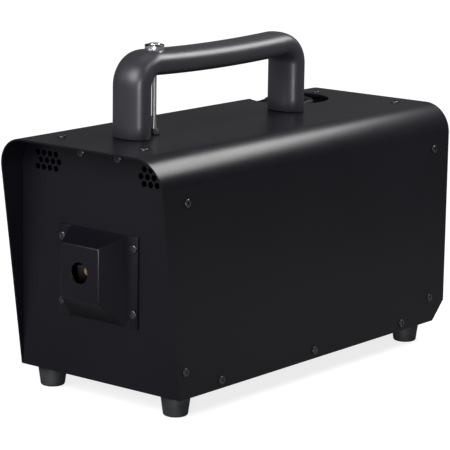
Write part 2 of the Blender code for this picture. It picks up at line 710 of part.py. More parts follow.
def handle_stations():
    """Middle line of the handle as (y, z, heading in degrees), from the front foot to the rear."""
    foot = TOP + SEAT_GAP
    shoulder = TOP + HANDLE_RISE - HANDLE_BEND
    stations = [(HANDLE_FRONT_Y, foot, 90.0)]
    for i in range(ARC + 1):
        angle = 180.0 - 90.0 * i / ARC
        turn = math.radians(angle)
        stations.append((HANDLE_FRONT_Y + HANDLE_BEND * (1 + math.cos(turn)),
                         shoulder + HANDLE_BEND * math.sin(turn), angle - 90.0))
    start = HANDLE_FRONT_Y + HANDLE_BEND
    end = HANDLE_REAR_Y - HANDLE_BEND
    for i in range(1, ARC):
        y = start + (end - start) * i / ARC
        stations.append((y, bar_height(y), 0.0))
    for i in range(ARC + 1):
        angle = 90.0 - 90.0 * i / ARC
        turn = math.radians(angle)
        stations.append((HANDLE_REAR_Y - HANDLE_BEND * (1 - math.cos(turn)),
                         shoulder + HANDLE_BEND * math.sin(turn), angle - 90.0))
    return stations + [(HANDLE_REAR_Y, foot, -90.0)]


def handle_section(y, z, heading):
    """Superellipse across the middle line."""
    turn = math.radians(heading)
    across = Vector((0.0, -math.sin(turn), math.cos(turn)))
    points = []
    for i in range(ROUND):
        angle = math.tau * i / ROUND
        c, s = math.cos(angle), math.sin(angle)
        power = 2.0 / HANDLE_SQUARENESS
        width = HANDLE_HALF_WIDTH * math.copysign(abs(c) ** power, c)
        height = HANDLE_HALF_THICKNESS * math.copysign(abs(s) ** power, s)
        points.append(Vector((width, y, z)) + across * height)
    return points


def build_handle(material):
    """Bridge handle with bolt holes in its feet and a bore for the trigger."""
    shape = bmesh.new()
    rings = []
    for station in handle_stations():
        ring = [shape.verts.new(point) for point in handle_section(*station)]
        rings.append([shape.edges.new((ring[i], ring[i - 1])) for i in range(ROUND)])
    for first, second in zip(rings, rings[1:]):
        bmesh.ops.bridge_loops(shape, edges=first + second)
    for ring in (rings[0], rings[-1]):
        bmesh.ops.contextual_create(shape, geom=ring)
    handle = finish("handle", shape, material)
    holes = bmesh.new()
    for end in handle_ends():
        start = Vector(end) - Vector((0, 0, OVERCUT))
        depth = Vector((0, 0, HANDLE_BOLT_GRIP + 2 * OVERCUT))
        add_rod(holes, start, start + depth, HANDLE_BOLT_RADIUS + SEAT_GAP)
    y = trigger_y()
    middle = bar_height(y)
    crest = middle + HANDLE_HALF_THICKNESS
    floor = trigger_seat() - TRIGGER_BARREL_DEPTH - CONDUIT_CLEARANCE
    add_rod(holes, (0, y, middle - 2 * HANDLE_HALF_THICKNESS), (0, y, floor - WELD),
            CONDUIT_RADIUS + SEAT_GAP)
    cut(handle, holes, "holes")
    cut(handle, rod((0, y, floor - OVERCUT), (0, y, crest + FAR_OVERCUT),
                    TRIGGER_BARREL_RADIUS + SEAT_GAP, ROUND), "barrel")
    cut(handle, rod((0, y, crest - TRIGGER_SPOT_DEPTH), (0, y, crest + 2 * OVERCUT),
                    TRIGGER_FLANGE_RADIUS + SEAT_GAP, ROUND), "spot_face")


def trigger_seat():
    """Height of the spot face under the trigger's flange."""
    return bar_height(trigger_y()) + HANDLE_HALF_THICKNESS - TRIGGER_SPOT_DEPTH


def build_handle_bolts(material):
    """Two bolts from inside the cover into the handle's feet."""
    under = -SHEET - SEAT_GAP
    head = HANDLE_BOLT_HEAD_RADIUS
    profile = [(0.0, under - HANDLE_BOLT_HEAD_HEIGHT), (head, under - HANDLE_BOLT_HEAD_HEIGHT),
               (head, under), (HANDLE_BOLT_RADIUS, under), (HANDLE_BOLT_RADIUS, HANDLE_BOLT_GRIP),
               (0.0, HANDLE_BOLT_GRIP)]
    for name, end in zip(("front", "rear"), handle_ends()):
        finish(f"handle_bolt_{name}", turned(profile, end, (0, 0, 1), SMALL), material, end)


def build_trigger(materials):
    """Housing, moving button, conduit and grommet of the thumb trigger."""
    y = trigger_y()
    seat = trigger_seat() + SEAT_GAP
    pocket = BUTTON_RADIUS + SEAT_GAP
    floor = -BUTTON_DEPTH - BUTTON_TRAVEL - RUNNING_GAP
    flange = TRIGGER_FLANGE_HEIGHT
    edge = 0.8 * MM
    profile = [(0.0, -TRIGGER_BARREL_DEPTH), (TRIGGER_BARREL_RADIUS, -TRIGGER_BARREL_DEPTH),
               (TRIGGER_BARREL_RADIUS, 0.0), (TRIGGER_FLANGE_RADIUS, 0.0),
               (TRIGGER_FLANGE_RADIUS, flange - edge), (TRIGGER_FLANGE_RADIUS - edge, flange),
               (pocket, flange), (pocket, floor + flange), (0.0, floor + flange)]
    place = (0.0, y, seat)
    finish("trigger_housing", turned(profile, place, (0, 0, 1)), materials["chrome"], place)
    button = [(0.0, flange - BUTTON_DEPTH), (BUTTON_RADIUS, flange - BUTTON_DEPTH),
              (BUTTON_RADIUS, flange + BUTTON_PROUD - edge),
              (BUTTON_RADIUS - edge, flange + BUTTON_PROUD), (0.0, flange + BUTTON_PROUD)]
    finish("trigger_button", turned(button, place, (0, 0, 1)), materials["chrome"], place)
    top = seat - TRIGGER_BARREL_DEPTH - CONDUIT_CLEARANCE - SEAT_GAP
    finish("trigger_conduit", rod((0, y, TOP - CONDUIT_INSIDE), (0, y, top), CONDUIT_RADIUS),
           materials["bare_steel"])
    bore = CONDUIT_RADIUS + SEAT_GAP
    rim = GROMMET_RADIUS
    lip = -SHEET - SEAT_GAP
    ring = [(bore, lip - 1.5 * MM), (rim, lip - 1.5 * MM), (rim, lip), (GROMMET_NECK_RADIUS, lip),
            (GROMMET_NECK_RADIUS, SEAT_GAP), (rim, SEAT_GAP), (rim, GROMMET_HEIGHT * 0.6),
            (rim * 0.7, GROMMET_HEIGHT), (bore, GROMMET_HEIGHT)]
    place = (0.0, y, TOP)
    shape = turned(ring + ring[:1], place, (0, 0, 1), ROUND)
    finish("conduit_grommet", shape, materials["rubber"], place)


# ---------------------------------------------------------------- heater and nozzle

def block_span():
    """Front and rear of the heater block along Y."""
    front = FRONT_FACE + BLOCK_FRONT
    return front, front + BLOCK_LENGTH


def square(half, front, rear):
    """Bar of square section round the nozzle's axis."""
    return box((-half, front, AXIS_Z - half), (half, rear, AXIS_Z + half))


def thermostat_hole():
    """Clearance hole from the block upward for the thermostat."""
    y = block_span()[0] + THERMOSTAT_Y
    return rod((0, y, AXIS_Z + BLOCK_HALF + SEAT_GAP / 2), (0, y, AXIS_Z + 3 * BLOCK_HALF),
               THERMOSTAT_RADIUS + SEAT_GAP, ROUND)


def build_heater(materials):
    """Heater block, insulation, jacket, stand, cartridge and thermostat."""
    front, rear = block_span()
    block = finish("heater_block", square(BLOCK_HALF, front, rear), materials["aluminium"])
    z = AXIS_Z + INLET_RISE
    join(block, rod((0, rear - OVERCUT, z), (0, rear + INLET_REACH, z), INLET_RADIUS), "inlet")
    cut(block, rod((0, front - OVERCUT, AXIS_Z), (0, front + THREAD_LENGTH + WELD, AXIS_Z),
                   THREAD_RADIUS + SEAT_GAP), "thread")
    z = AXIS_Z - CARTRIDGE_DROP
    cut(block, rod((0, rear - CARTRIDGE_LENGTH - WELD, z), (0, rear + OVERCUT, z),
                   CARTRIDGE_RADIUS + SEAT_GAP), "bore")
    finish("heater_cartridge", rod((0, rear - CARTRIDGE_LENGTH, z), (0, rear + CARTRIDGE_STUB, z),
                                   CARTRIDGE_RADIUS), materials["bare_steel"])
    wool_half = BLOCK_HALF + SEAT_GAP + INSULATION_THICKNESS
    wool = finish("heater_insulation", square(wool_half, front, rear), materials["wool"])
    cut(wool, square(BLOCK_HALF + SEAT_GAP, front - OVERCUT, rear + OVERCUT), "core")
    cut(wool, thermostat_hole(), "thermostat")
    jacket_half = wool_half + SEAT_GAP + JACKET_WALL
    jacket = finish("heater_jacket", square(jacket_half, front, rear), materials["bare_steel"])
    cut(jacket, square(wool_half + SEAT_GAP, front - OVERCUT, rear + OVERCUT), "core")
    cut(jacket, thermostat_hole(), "thermostat")
    y = front + THERMOSTAT_Y
    low = AXIS_Z + BLOCK_HALF + SEAT_GAP
    finish("thermostat", rod((0, y, low), (0, y, low + THERMOSTAT_HEIGHT), THERMOSTAT_RADIUS,
                             ROUND), materials["black_plastic"])
    stand_top = AXIS_Z - jacket_half - SEAT_GAP
    stand_front = front + STAND_INSET
    stand_rear = rear - STAND_INSET
    sheet = STAND_SHEET
    outline = [(stand_front - STAND_FOOT, FLOOR), (stand_front + sheet, FLOOR),
               (stand_front + sheet, stand_top - sheet), (stand_rear - sheet, stand_top - sheet),
               (stand_rear - sheet, FLOOR), (stand_rear + STAND_FOOT, FLOOR),
               (stand_rear + STAND_FOOT, FLOOR + sheet), (stand_rear, FLOOR + sheet),
               (stand_rear, stand_top), (stand_front, stand_top), (stand_front, FLOOR + sheet),
               (stand_front - STAND_FOOT, FLOOR + sheet)]
    half = BLOCK_HALF
    finish("heater_stand", prism(outline, 0, -half, half), materials["bare_steel"])


def build_nozzle(material):
    """Turned brass nozzle screwed into the block."""
    seat = block_span()[0] - SEAT_GAP
    tip = seat - (FRONT_FACE - NOZZLE_REACH)
    depth = 6 * MM
    profile = [(0.0, tip - depth), (NOZZLE_BORE_RADIUS, tip - depth), (NOZZLE_BORE_RADIUS, tip),
               (NOZZLE_TIP_RADIUS, tip), (NOZZLE_HEX_RADIUS * 0.75, tip - 10 * MM),
               (NOZZLE_HEX_RADIUS * 0.75, 8 * MM), (NOZZLE_HEX_RADIUS, 8 * MM),
               (NOZZLE_HEX_RADIUS, 0.0), (THREAD_RADIUS, 0.0), (THREAD_RADIUS, -THREAD_LENGTH),
               (0.0, -THREAD_LENGTH)]
    place = (0.0, seat, AXIS_Z)
    finish("nozzle", turned(profile, place, (0, -1, 0)), material, place)


# ---------------------------------------------------------------- fluid side

def pump_axis():
    """Height of the pump's axis."""
    return FLOOR + PUMP_HEIGHT


def build_pump(materials):
    """Pump body with a bore, its sprung piston and its saddle."""
    x, z = PUMP_X, pump_axis()
    front, rear = PUMP_Y
    body = finish("pump_body", rod((x, front, z), (x, rear, z), PUMP_RADIUS, ROUND),
                  materials["black_plastic"])
    reach = PUMP_NIPPLE_REACH
    for name, start, end in (("outlet", front - reach, front + OVERCUT),
                             ("inlet", rear - OVERCUT, rear + reach)):
        join(body, rod((x, start, z), (x, end, z), PUMP_NIPPLE_RADIUS), name)
    cut(body, rod((x, front - 2 * reach, z), (x, rear + 2 * reach, z), PUMP_NIPPLE_BORE), "way")
    cut(body, rod((x, front + PUMP_END_WALL, z), (x, rear - PUMP_END_WALL, z),
                  PUMP_BORE_RADIUS, ROUND), "bore")
    middle = (front + rear) / 2
    half = PISTON_LENGTH / 2
    place = (x, middle, z)
    piston = rod((x, middle - half, z), (x, middle + half, z), PUMP_BORE_RADIUS - SEAT_GAP, ROUND)
    finish("pump_piston", piston, materials["bare_steel"], place)
    low = (x - SADDLE_WIDTH / 2, middle - SADDLE_LENGTH / 2, FLOOR)
    high = (x + SADDLE_WIDTH / 2, middle + SADDLE_LENGTH / 2, z)
    saddle = finish("pump_saddle", box(low, high), materials["rubber"])
    cut(saddle, rod((x, low[1] - OVERCUT, z), (x, high[1] + OVERCUT, z),
                    PUMP_RADIUS + SEAT_GAP, ROUND), "seat")


def tank_top():
    """Height of the tank's roof."""
    return TOP - TANK_TOP_DROP


def neck_top():
    """Height of the neck's rim, under the cap and the plug's flange."""
    return TOP - CAP_SINK - CAP_WALL - SEAT_GAP - PLUG_FLANGE - SEAT_GAP


def build_tank(material):
    """Hollow tank with a filler neck and an outlet spout."""
    low, high = (TANK_X[0], TANK_Y[0]), (TANK_X[1], TANK_Y[1])
    tank = finish("fluid_tank", prism(rounded_outline(low, high, TANK_RADIUS), 2, FLOOR,
                                      tank_top()), material)
    neck = rod((FILLER_X, FILLER_Y, tank_top() - TANK_WALL / 2), (FILLER_X, FILLER_Y, neck_top()),
               NECK_RADIUS, ROUND)
    join(tank, neck, "neck")
    z = FLOOR + SPOUT_HEIGHT
    start = TANK_X[1] - TANK_WALL / 2
    join(tank, rod((start, SPOUT_Y, z), (TANK_X[1] + SPOUT_REACH, SPOUT_Y, z), SPOUT_RADIUS),
         "spout")
    inner_low = (low[0] + TANK_WALL, low[1] + TANK_WALL)
    inner_high = (high[0] - TANK_WALL, high[1] - TANK_WALL)
    hollow = rounded_outline(inner_low, inner_high, TANK_RADIUS - TANK_WALL)
    cut(tank, prism(hollow, 2, FLOOR + TANK_WALL, tank_top() - TANK_WALL), "hollow")
    cut(tank, rod((FILLER_X, FILLER_Y, tank_top() - 2 * TANK_WALL),
                  (FILLER_X, FILLER_Y, neck_top() + OVERCUT), NECK_RADIUS - NECK_WALL, ROUND),
        "mouth")
    cut(tank, rod((TANK_X[1] - 2 * TANK_WALL, SPOUT_Y, z),
                  (TANK_X[1] + 2 * SPOUT_REACH, SPOUT_Y, z), SPOUT_BORE_RADIUS), "spout_bore")


def build_filler(materials):
    """Sealing plug in the neck and the cap that turns on it."""
    place = (FILLER_X, FILLER_Y, neck_top())
    plug_radius = NECK_RADIUS - NECK_WALL - RUNNING_GAP
    flange_top = SEAT_GAP + PLUG_FLANGE
    plug = [(0.0, -PLUG_DEPTH), (plug_radius - 1 * MM, -PLUG_DEPTH),
            (plug_radius, 1 * MM - PLUG_DEPTH), (plug_radius, SEAT_GAP), (NECK_RADIUS, SEAT_GAP),
            (NECK_RADIUS, flange_top), (0.0, flange_top)]
    finish("filler_plug", turned(plug, place, (0, 0, 1)), materials["rubber"], place)
    inner = CAP_RADIUS - CAP_WALL
    ceiling = flange_top + SEAT_GAP
    top = ceiling + CAP_WALL
    bottom = top - CAP_HEIGHT
    edge = 1 * MM
    cap = [(0.0, ceiling), (inner, ceiling), (inner, bottom), (CAP_RADIUS, bottom),
           (CAP_RADIUS, top - edge), (CAP_RADIUS - edge, top), (0.0, top)]
    finish("tank_cap", turned(cap, place, (0, 0, 1), FINE), materials["black_plastic"], place)


def build_hoses(material):
    """Feed tube from pump to heater and suction tube from tank to pump."""
    gap = SEAT_GAP
    heater = (0.0, block_span()[1] + INLET_REACH + gap, AXIS_Z + INLET_RISE)
    outlet = (PUMP_X, PUMP_Y[0] - PUMP_NIPPLE_REACH - gap, pump_axis())
    pull = (0.0, HOSE_PULL, 0.0)
    tube("feed_tube", bent_route(heater, pull, outlet, pull), TUBE_RADIUS, material)
    inlet = (PUMP_X, PUMP_Y[1] + PUMP_NIPPLE_REACH + gap, pump_axis())
    spout = (TANK_X[1] + SPOUT_REACH + gap, SPOUT_Y, FLOOR + SPOUT_HEIGHT)
    suction = bent_route(spout, (HOSE_PULL, 0.0, 0.0), inlet, (0.0, -HOSE_PULL, 0.0))
    tube("suction_tube", suction, TUBE_RADIUS, material)


# ---------------------------------------------------------------- battery and board

def build_battery(materials):
    """Battery pack under a strap that is footed on the tray."""
    low, high = (BATTERY_X[0], BATTERY_Y[0]), (BATTERY_X[1], BATTERY_Y[1])
    roof = FLOOR + BATTERY_HEIGHT
    finish("battery_pack", prism(rounded_outline(low, high, BATTERY_ROUND, 2), 2, FLOOR, roof),
           materials["battery_grey"])
    middle = (BATTERY_Y[0] + BATTERY_Y[1]) / 2
    left = BATTERY_X[0] - SEAT_GAP
    right = BATTERY_X[1] + SEAT_GAP
    inner_top = roof + SEAT_GAP
    sheet = STRAP_SHEET
    outline = [(left - sheet, FLOOR), (left, FLOOR), (left, inner_top), (right, inner_top),
               (right, FLOOR), (right + STRAP_FOOT, FLOOR), (right + STRAP_FOOT, FLOOR + sheet),
               (right + sheet, FLOOR + sheet), (right + sheet, inner_top + sheet),
               (left - sheet, inner_top + sheet)]
    ends = (middle - STRAP_WIDTH / 2, middle + STRAP_WIDTH / 2)
    finish("battery_strap", prism(outline, 1, *ends), materials["bare_steel"])


def stud_places():
    """X and Z of the four studs behind the rear panel."""
    columns = (BOARD_X[0] + STUD_INSET, BOARD_X[1] - STUD_INSET)
    rows = (BASE + BOARD_Z[0] + STUD_INSET, BASE + BOARD_Z[1] - STUD_INSET)
    return [(x, z) for x in columns for z in rows]


def build_board(material):
    """Control board in front of the studs, with its tallest components."""
    rear = REAR_FACE - SHEET - STUD_LENGTH - SEAT_GAP
    front = rear - BOARD_THICKNESS
    low = (BOARD_X[0], front, BASE + BOARD_Z[0])
    high = (BOARD_X[1], rear, BASE + BOARD_Z[1])
    board = finish("control_board", box(low, high), material)
    parts = bmesh.new()
    width = BOARD_X[1] - BOARD_X[0]
    height = BOARD_Z[1] - BOARD_Z[0]
    components = ((0.10, 0.62, 0.34, 0.14, 18), (0.55, 0.60, 0.22, 0.10, 14),
                  (0.55, 0.78, 0.22, 0.10, 14), (0.15, 0.42, 0.20, 0.12, 12),
                  (0.50, 0.40, 0.30, 0.08, 6))
    for left, bottom, wide, tall, proud in components:
        start = (low[0] + left * width, front - proud * MM, low[2] + bottom * height)
        end = (start[0] + wide * width, front + BOARD_THICKNESS / 2, start[2] + tall * height)
        add_box(parts, start, end)
    join(board, parts, "components")


# ---------------------------------------------------------------- rear controls

def control(place):
    """Point on the rear panel's outer face."""
    return Vector((place[0], REAR_FACE, BASE + place[1]))


def centred_box(centre, width, height, back, front):
    """Box round a point of the rear panel, from back to front along Y."""
    return box((centre.x - width / 2, centre.y + back, centre.z - height / 2),
               (centre.x + width / 2, centre.y + front, centre.z + height / 2))


def build_switch(materials):
    """Power switch: housing with a window, and the rocker that tips in it."""
    at = control(SWITCH_AT)
    wide, tall, thick = SWITCH_BEZEL
    body_wide, body_tall, deep = SWITCH_BODY
    window_wide, window_tall, window_deep = SWITCH_WINDOW
    plastic = materials["black_plastic"]
    housing = finish("switch_housing", centred_box(at, wide, tall, SEAT_GAP, thick), plastic)
    join(housing, centred_box(at, body_wide, body_tall, -deep, thick / 2), "body")
    cut(housing, centred_box(at, window_wide, window_tall, thick - window_deep, thick + OVERCUT),
        "window")
    half = window_wide / 2 - RUNNING_GAP
    outline = [(ROCKER_END, ROCKER_HALF_LENGTH), (ROCKER_MIDDLE, 0.0),
               (ROCKER_END, -ROCKER_HALF_LENGTH), (-ROCKER_BACK, -ROCKER_BACK_HALF),
               (-ROCKER_BACK, ROCKER_BACK_HALF)]
    rocker = prism(outline, 0, -half, half)
    turn = Matrix.Translation(at) @ Matrix.Rotation(math.radians(-ROCKER_TILT), 4, "X")
    bmesh.ops.transform(rocker, matrix=turn, verts=rocker.verts)
    finish("switch_rocker", rocker, plastic, at)


def build_dial(materials):
    """Output dial: potentiometer behind the panel and the knob on its shaft."""
    at = control(KNOB_AT)
    inner = -SHEET - SEAT_GAP
    pot = [(0.0, inner - POT_DEPTH), (POT_RADIUS, inner - POT_DEPTH), (POT_RADIUS, inner),
           (POT_BUSH_RADIUS, inner), (POT_BUSH_RADIUS, 0.0), (POT_SHAFT_RADIUS, 0.0),
           (POT_SHAFT_RADIUS, POT_SHAFT_REACH), (0.0, POT_SHAFT_REACH)]
    finish("output_pot", turned(pot, at, (0, 1, 0)), materials["bare_steel"], at)
    bore = POT_SHAFT_RADIUS + SEAT_GAP
    roof = POT_SHAFT_REACH + SEAT_GAP
    low = RUNNING_GAP
    edge = 1 * MM
    knob = [(0.0, roof), (bore, roof), (bore, low), (KNOB_RADIUS, low), (KNOB_RADIUS, 3 * MM),
            (KNOB_RADIUS - 1.5 * MM, 4 * MM), (KNOB_RADIUS - OVERCUT, KNOB_HEIGHT - edge),
            (KNOB_RADIUS - OVERCUT - edge, KNOB_HEIGHT), (0.0, KNOB_HEIGHT)]
    finish("output_knob", turned(knob, at, (0, 1, 0)), materials["black_plastic"], at)


def pins(places, back, front, radius):
    """Contact pins of a socket."""
    shape = bmesh.new()
    for place in places:
        add_rod(shape, (place.x, place.y + back, place.z), (place.x, place.y + front, place.z),
                radius, 10)
    return shape


def build_remote(material):
    """Remote socket: plate, barrel, recess and three pins."""
    at = control(REMOTE_AT)
    wide, tall, thick = REMOTE_PLATE
    socket = finish("remote_socket", centred_box(at, wide, tall, SEAT_GAP, thick), material)
    barrel = rod(at - Vector((0, REMOTE_DEPTH, 0)), at + Vector((0, thick / 2, 0)),
                 REMOTE_BARREL_RADIUS, ROUND)
    join(socket, barrel, "barrel")
    floor = thick - REMOTE_RECESS_DEPTH
    cut(socket, rod(at + Vector((0, floor, 0)), at + Vector((0, thick + OVERCUT, 0)),
                    REMOTE_RECESS_RADIUS, ROUND), "recess")
    angles = (math.radians(90), math.radians(210), math.radians(330))
    places = [at + REMOTE_PIN_CIRCLE * Vector((math.cos(a), 0, math.sin(a))) for a in angles]
    join(socket, pins(places, floor - WELD, -OVERCUT, REMOTE_PIN_RADIUS), "pins")


def build_charge_inlet(material):
    """Charge inlet: collar, barrel, recess and centre pin."""
    at = control(CHARGE_AT)
    floor = COLLAR_HEIGHT - CHARGE_RECESS_DEPTH
    pin = CHARGE_PIN_RADIUS
    profile = [(0.0, -CHARGE_DEPTH), (CHARGE_BARREL_RADIUS, -CHARGE_DEPTH),
               (CHARGE_BARREL_RADIUS, SEAT_GAP), (CHARGE_COLLAR_RADIUS, SEAT_GAP),
               (CHARGE_COLLAR_RADIUS, COLLAR_HEIGHT), (CHARGE_RECESS_RADIUS, COLLAR_HEIGHT),
               (CHARGE_RECESS_RADIUS, floor), (pin, floor), (pin, -WELD), (0.0, -WELD)]
    finish("charge_inlet", turned(profile, at, (0, 1, 0)), material, at)


def build_fuse_and_lamp(materials):
    """Fuse holder with its slotted cap, and the power lamp."""
    at = control(FUSE_AT)
    rim = FUSE_CAP_RADIUS
    profile = [(0.0, -FUSE_DEPTH), (FUSE_BODY_RADIUS, -FUSE_DEPTH), (FUSE_BODY_RADIUS, SEAT_GAP),
               (rim, SEAT_GAP), (rim, COLLAR_HEIGHT), (rim - 1 * MM, COLLAR_HEIGHT),
               (rim - 1 * MM, FUSE_CAP_HEIGHT), (0.0, FUSE_CAP_HEIGHT)]
    fuse = finish("fuse_holder", turned(profile, at, (0, 1, 0)), materials["black_plastic"], at)
    cut(fuse, centred_box(at, 1.4 * MM, 2 * rim, FUSE_CAP_HEIGHT - 1.5 * MM,
                          FUSE_CAP_HEIGHT + OVERCUT), "slot")
    at = control(LAMP_AT)
    dome = [(LAMP_BODY_RADIUS * math.cos(a), 1.2 * MM + LAMP_BODY_RADIUS * math.sin(a))
            for a in (0.0, math.pi / 6, math.pi / 3)]
    lamp = [(0.0, -8 * MM), (LAMP_BODY_RADIUS, -8 * MM), (LAMP_BODY_RADIUS, SEAT_GAP),
            (LAMP_RADIUS, SEAT_GAP), (LAMP_RADIUS, 1.2 * MM)] + dome
    lamp.append((0.0, 1.2 * MM + LAMP_BODY_RADIUS))
    finish("power_lamp", turned(lamp, at, (0, 1, 0), SMALL), materials["lamp_green"], at)


# ---------------------------------------------------------------- the whole machine

def main():
    """Build every piece."""
    clear_scene()
    materials = make_materials()
    coat = materials["powder_coat"]
    build_cover(coat)
    build_tray(coat)
    build_front_panel(coat)
    build_rear_panel(coat)
    build_hood(coat)
    build_screws(materials["black_screw"])
    build_feet(materials["rubber"])
    build_handle(materials["handle_grey"])
    build_handle_bolts(materials["bare_steel"])
    build_trigger(materials)
    build_heater(materials)
    build_nozzle(materials["brass"])
    build_pump(materials)
    build_tank(materials["natural_plastic"])
    build_filler(materials)
    build_hoses(materials["hose"])
    build_battery(materials)
    build_board(materials["board_green"])
    build_switch(materials)
    build_dial(materials)
    build_remote(materials["black_plastic"])
    build_charge_inlet(materials["black_plastic"])
    build_fuse_and_lamp(materials)


main()
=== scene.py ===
"""Looks of a battery fog machine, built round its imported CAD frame."""

from __future__ import annotations

import json
import logging
import math
from dataclasses import dataclass, field
from enum import Enum

import bmesh
import bpy
from bpy.types import Material, Object
from mathutils import Matrix, Vector


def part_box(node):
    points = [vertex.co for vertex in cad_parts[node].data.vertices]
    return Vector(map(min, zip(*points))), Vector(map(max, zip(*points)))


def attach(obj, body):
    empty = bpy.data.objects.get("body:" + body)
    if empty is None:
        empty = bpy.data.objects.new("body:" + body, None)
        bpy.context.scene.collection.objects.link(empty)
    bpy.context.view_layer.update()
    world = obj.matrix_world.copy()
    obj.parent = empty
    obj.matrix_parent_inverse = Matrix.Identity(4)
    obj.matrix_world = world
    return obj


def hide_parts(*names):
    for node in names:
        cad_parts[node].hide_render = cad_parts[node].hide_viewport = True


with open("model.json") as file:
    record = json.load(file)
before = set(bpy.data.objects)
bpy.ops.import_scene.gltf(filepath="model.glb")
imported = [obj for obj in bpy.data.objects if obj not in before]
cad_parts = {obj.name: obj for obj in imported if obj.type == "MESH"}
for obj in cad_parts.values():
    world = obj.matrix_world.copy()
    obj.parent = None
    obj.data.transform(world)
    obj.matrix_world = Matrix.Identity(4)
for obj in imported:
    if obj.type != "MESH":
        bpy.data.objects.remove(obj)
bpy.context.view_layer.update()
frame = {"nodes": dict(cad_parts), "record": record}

LOG = logging.getLogger("fog_machine")
MM = 0.001
HOME = "machine"                 # the body that carries the housing
UP = Vector((0.0, 0.0, 1.0))
SEEN_RAYS = ("Is Camera Ray", "Is Glossy Ray", "Is Transmission Ray")


class Facing(Enum):
    """Directions that a fastener or control can look in."""

    FRONT = (0.0, -1.0, 0.0)
    REAR = (0.0, 1.0, 0.0)
    RIGHT = (1.0, 0.0, 0.0)
    LEFT = (-1.0, 0.0, 0.0)
    TOP = (0.0, 0.0, 1.0)


# ---------------------------------------------------------------- shader wiring

class Wire:
    """A node's output that can be written into sums and products."""

    def __init__(self, shader: Shader, socket: bpy.types.NodeSocket) -> None:
        """Remember the shader that owns the socket."""
        self.shader = shader
        self.socket = socket

    def _math(self, operation: str, first: object, second: object) -> Wire:
        """Add one Math node.

        Args:
            operation: the node's operation.
            first: left value or wire.
            second: right value or wire.

        Returns:
            The result's wire.
        """
        return self.shader.node("ShaderNodeMath", {"operation": operation}, {0: first, 1: second})

    def __add__(self, other: object) -> Wire:
        """Sum."""
        return self._math("ADD", self, other)

    def __radd__(self, other: object) -> Wire:
        """Sum with the number first."""
        return self._math("ADD", other, self)

    def __sub__(self, other: object) -> Wire:
        """Difference."""
        return self._math("SUBTRACT", self, other)

    def __rsub__(self, other: object) -> Wire:
        """Difference with the number first."""
        return self._math("SUBTRACT", other, self)

    def __mul__(self, other: object) -> Wire:
        """Product."""
        return self._math("MULTIPLY", self, other)

    def __rmul__(self, other: object) -> Wire:
        """Product with the number first."""
        return self._math("MULTIPLY", other, self)


class Shader:
    """One Principled material and the nodes that vary it."""

    def __init__(self, name: str) -> None:
        """Make an empty material.

        Args:
            name: the material's name.
        """
        self.material = bpy.data.materials.new(name)
        self.material.use_nodes = True
        self.tree = self.material.node_tree
        self.surface = self.tree.nodes["Principled BSDF"]

    def node(self, kind: str, settings: dict, inputs: dict, out: str | int = 0) -> Wire:
        """Add a node.

        Args:
            kind: node type.
            settings: attributes set first; "stops" fills a colour ramp.
            inputs: socket name or number to value or wire.
            out: output socket's name or number.

        Returns:
            The output's wire.
        """
        made = self.tree.nodes.new(kind)
        for key, value in settings.items():
            if key == "stops":
                self._fill_ramp(made.color_ramp, value)
            else:
                setattr(made, key, value)
        for key, value in inputs.items():
            self.feed(made.inputs[key], value)
        return Wire(self, made.outputs[out])

    @staticmethod
    def _fill_ramp(ramp: bpy.types.ColorRamp, stops: list) -> None:
        """Set a ramp's stops, each a place and a colour."""
        while len(ramp.elements) < len(stops):
            ramp.elements.new(1.0)
        for element, (place, colour) in zip(ramp.elements, stops):
            element.position = place
            element.color = (*colour, 1.0)

    def feed(self, socket: bpy.types.NodeSocket, value: object) -> None:
        """Link a wire to a socket, or set its value."""
        if isinstance(value, Wire):
            self.tree.links.new(value.socket, socket)
        elif isinstance(value, tuple) and socket.type == "RGBA":
            socket.default_value = (*value, 1.0)
        else:
            socket.default_value = value

    def set(self, **values: object) -> None:
        """Feed the Principled node, with underscores for spaces in socket names."""
        for key, value in values.items():
            self.feed(self.surface.inputs[key.replace("_", " ")], value)

    def place(self, scale: tuple[float, float, float] = (1.0, 1.0, 1.0),
              centre: tuple[float, float, float] = (0.0, 0.0, 0.0)) -> Wire:
        """Object coordinates, shifted to a centre and stretched.

        Args:
            scale: factor along each axis.
            centre: point that the pattern is centred on.

        Returns:
            The coordinates' wire.
        """
        own = self.node("ShaderNodeTexCoord", {}, {}, "Object")
        shift = tuple(-c * s for c, s in zip(centre, scale))
        return self.node("ShaderNodeMapping", {}, {"Vector": own, "Location": shift, "Scale": scale})

    def noise(self, scale: float, detail: float = 2.0, vector: Wire | None = None) -> Wire:
        """Noise between 0 and 1 on object coordinates."""
        vector = vector or self.place()
        return self.node("ShaderNodeTexNoise", {}, {"Vector": vector, "Scale": scale,
                                                    "Detail": detail})

    def bump(self, height: Wire, distance: float, strength: float = 1.0,
             below: Wire | None = None) -> Wire:
        """Bump from a height.

        Args:
            height: 0 to 1.
            distance: depth in metres.
            strength: share of the effect.
            below: another bump that this one lies on.

        Returns:
            The normal's wire.
        """
        inputs = {"Height": height, "Distance": distance, "Strength": strength}
        if below is not None:
            inputs["Normal"] = below
        return self.node("ShaderNodeBump", {}, inputs)

    def blend(self, share: Wire, first: tuple, second: tuple) -> Wire:
        """Colour between two, by a share from 0 to 1."""
        return self.node("ShaderNodeValToRGB", {"stops": [(0.0, first), (1.0, second)]},
                         {"Fac": share}, "Color")

    def window(self, value: Wire, low: float, high: float) -> Wire:
        """Value stretched so that low becomes 0 and high becomes 1."""
        return self.node("ShaderNodeMapRange", {}, {"Value": value, "From Min": low,
                                                    "From Max": high})


# ---------------------------------------------------------------- finishes

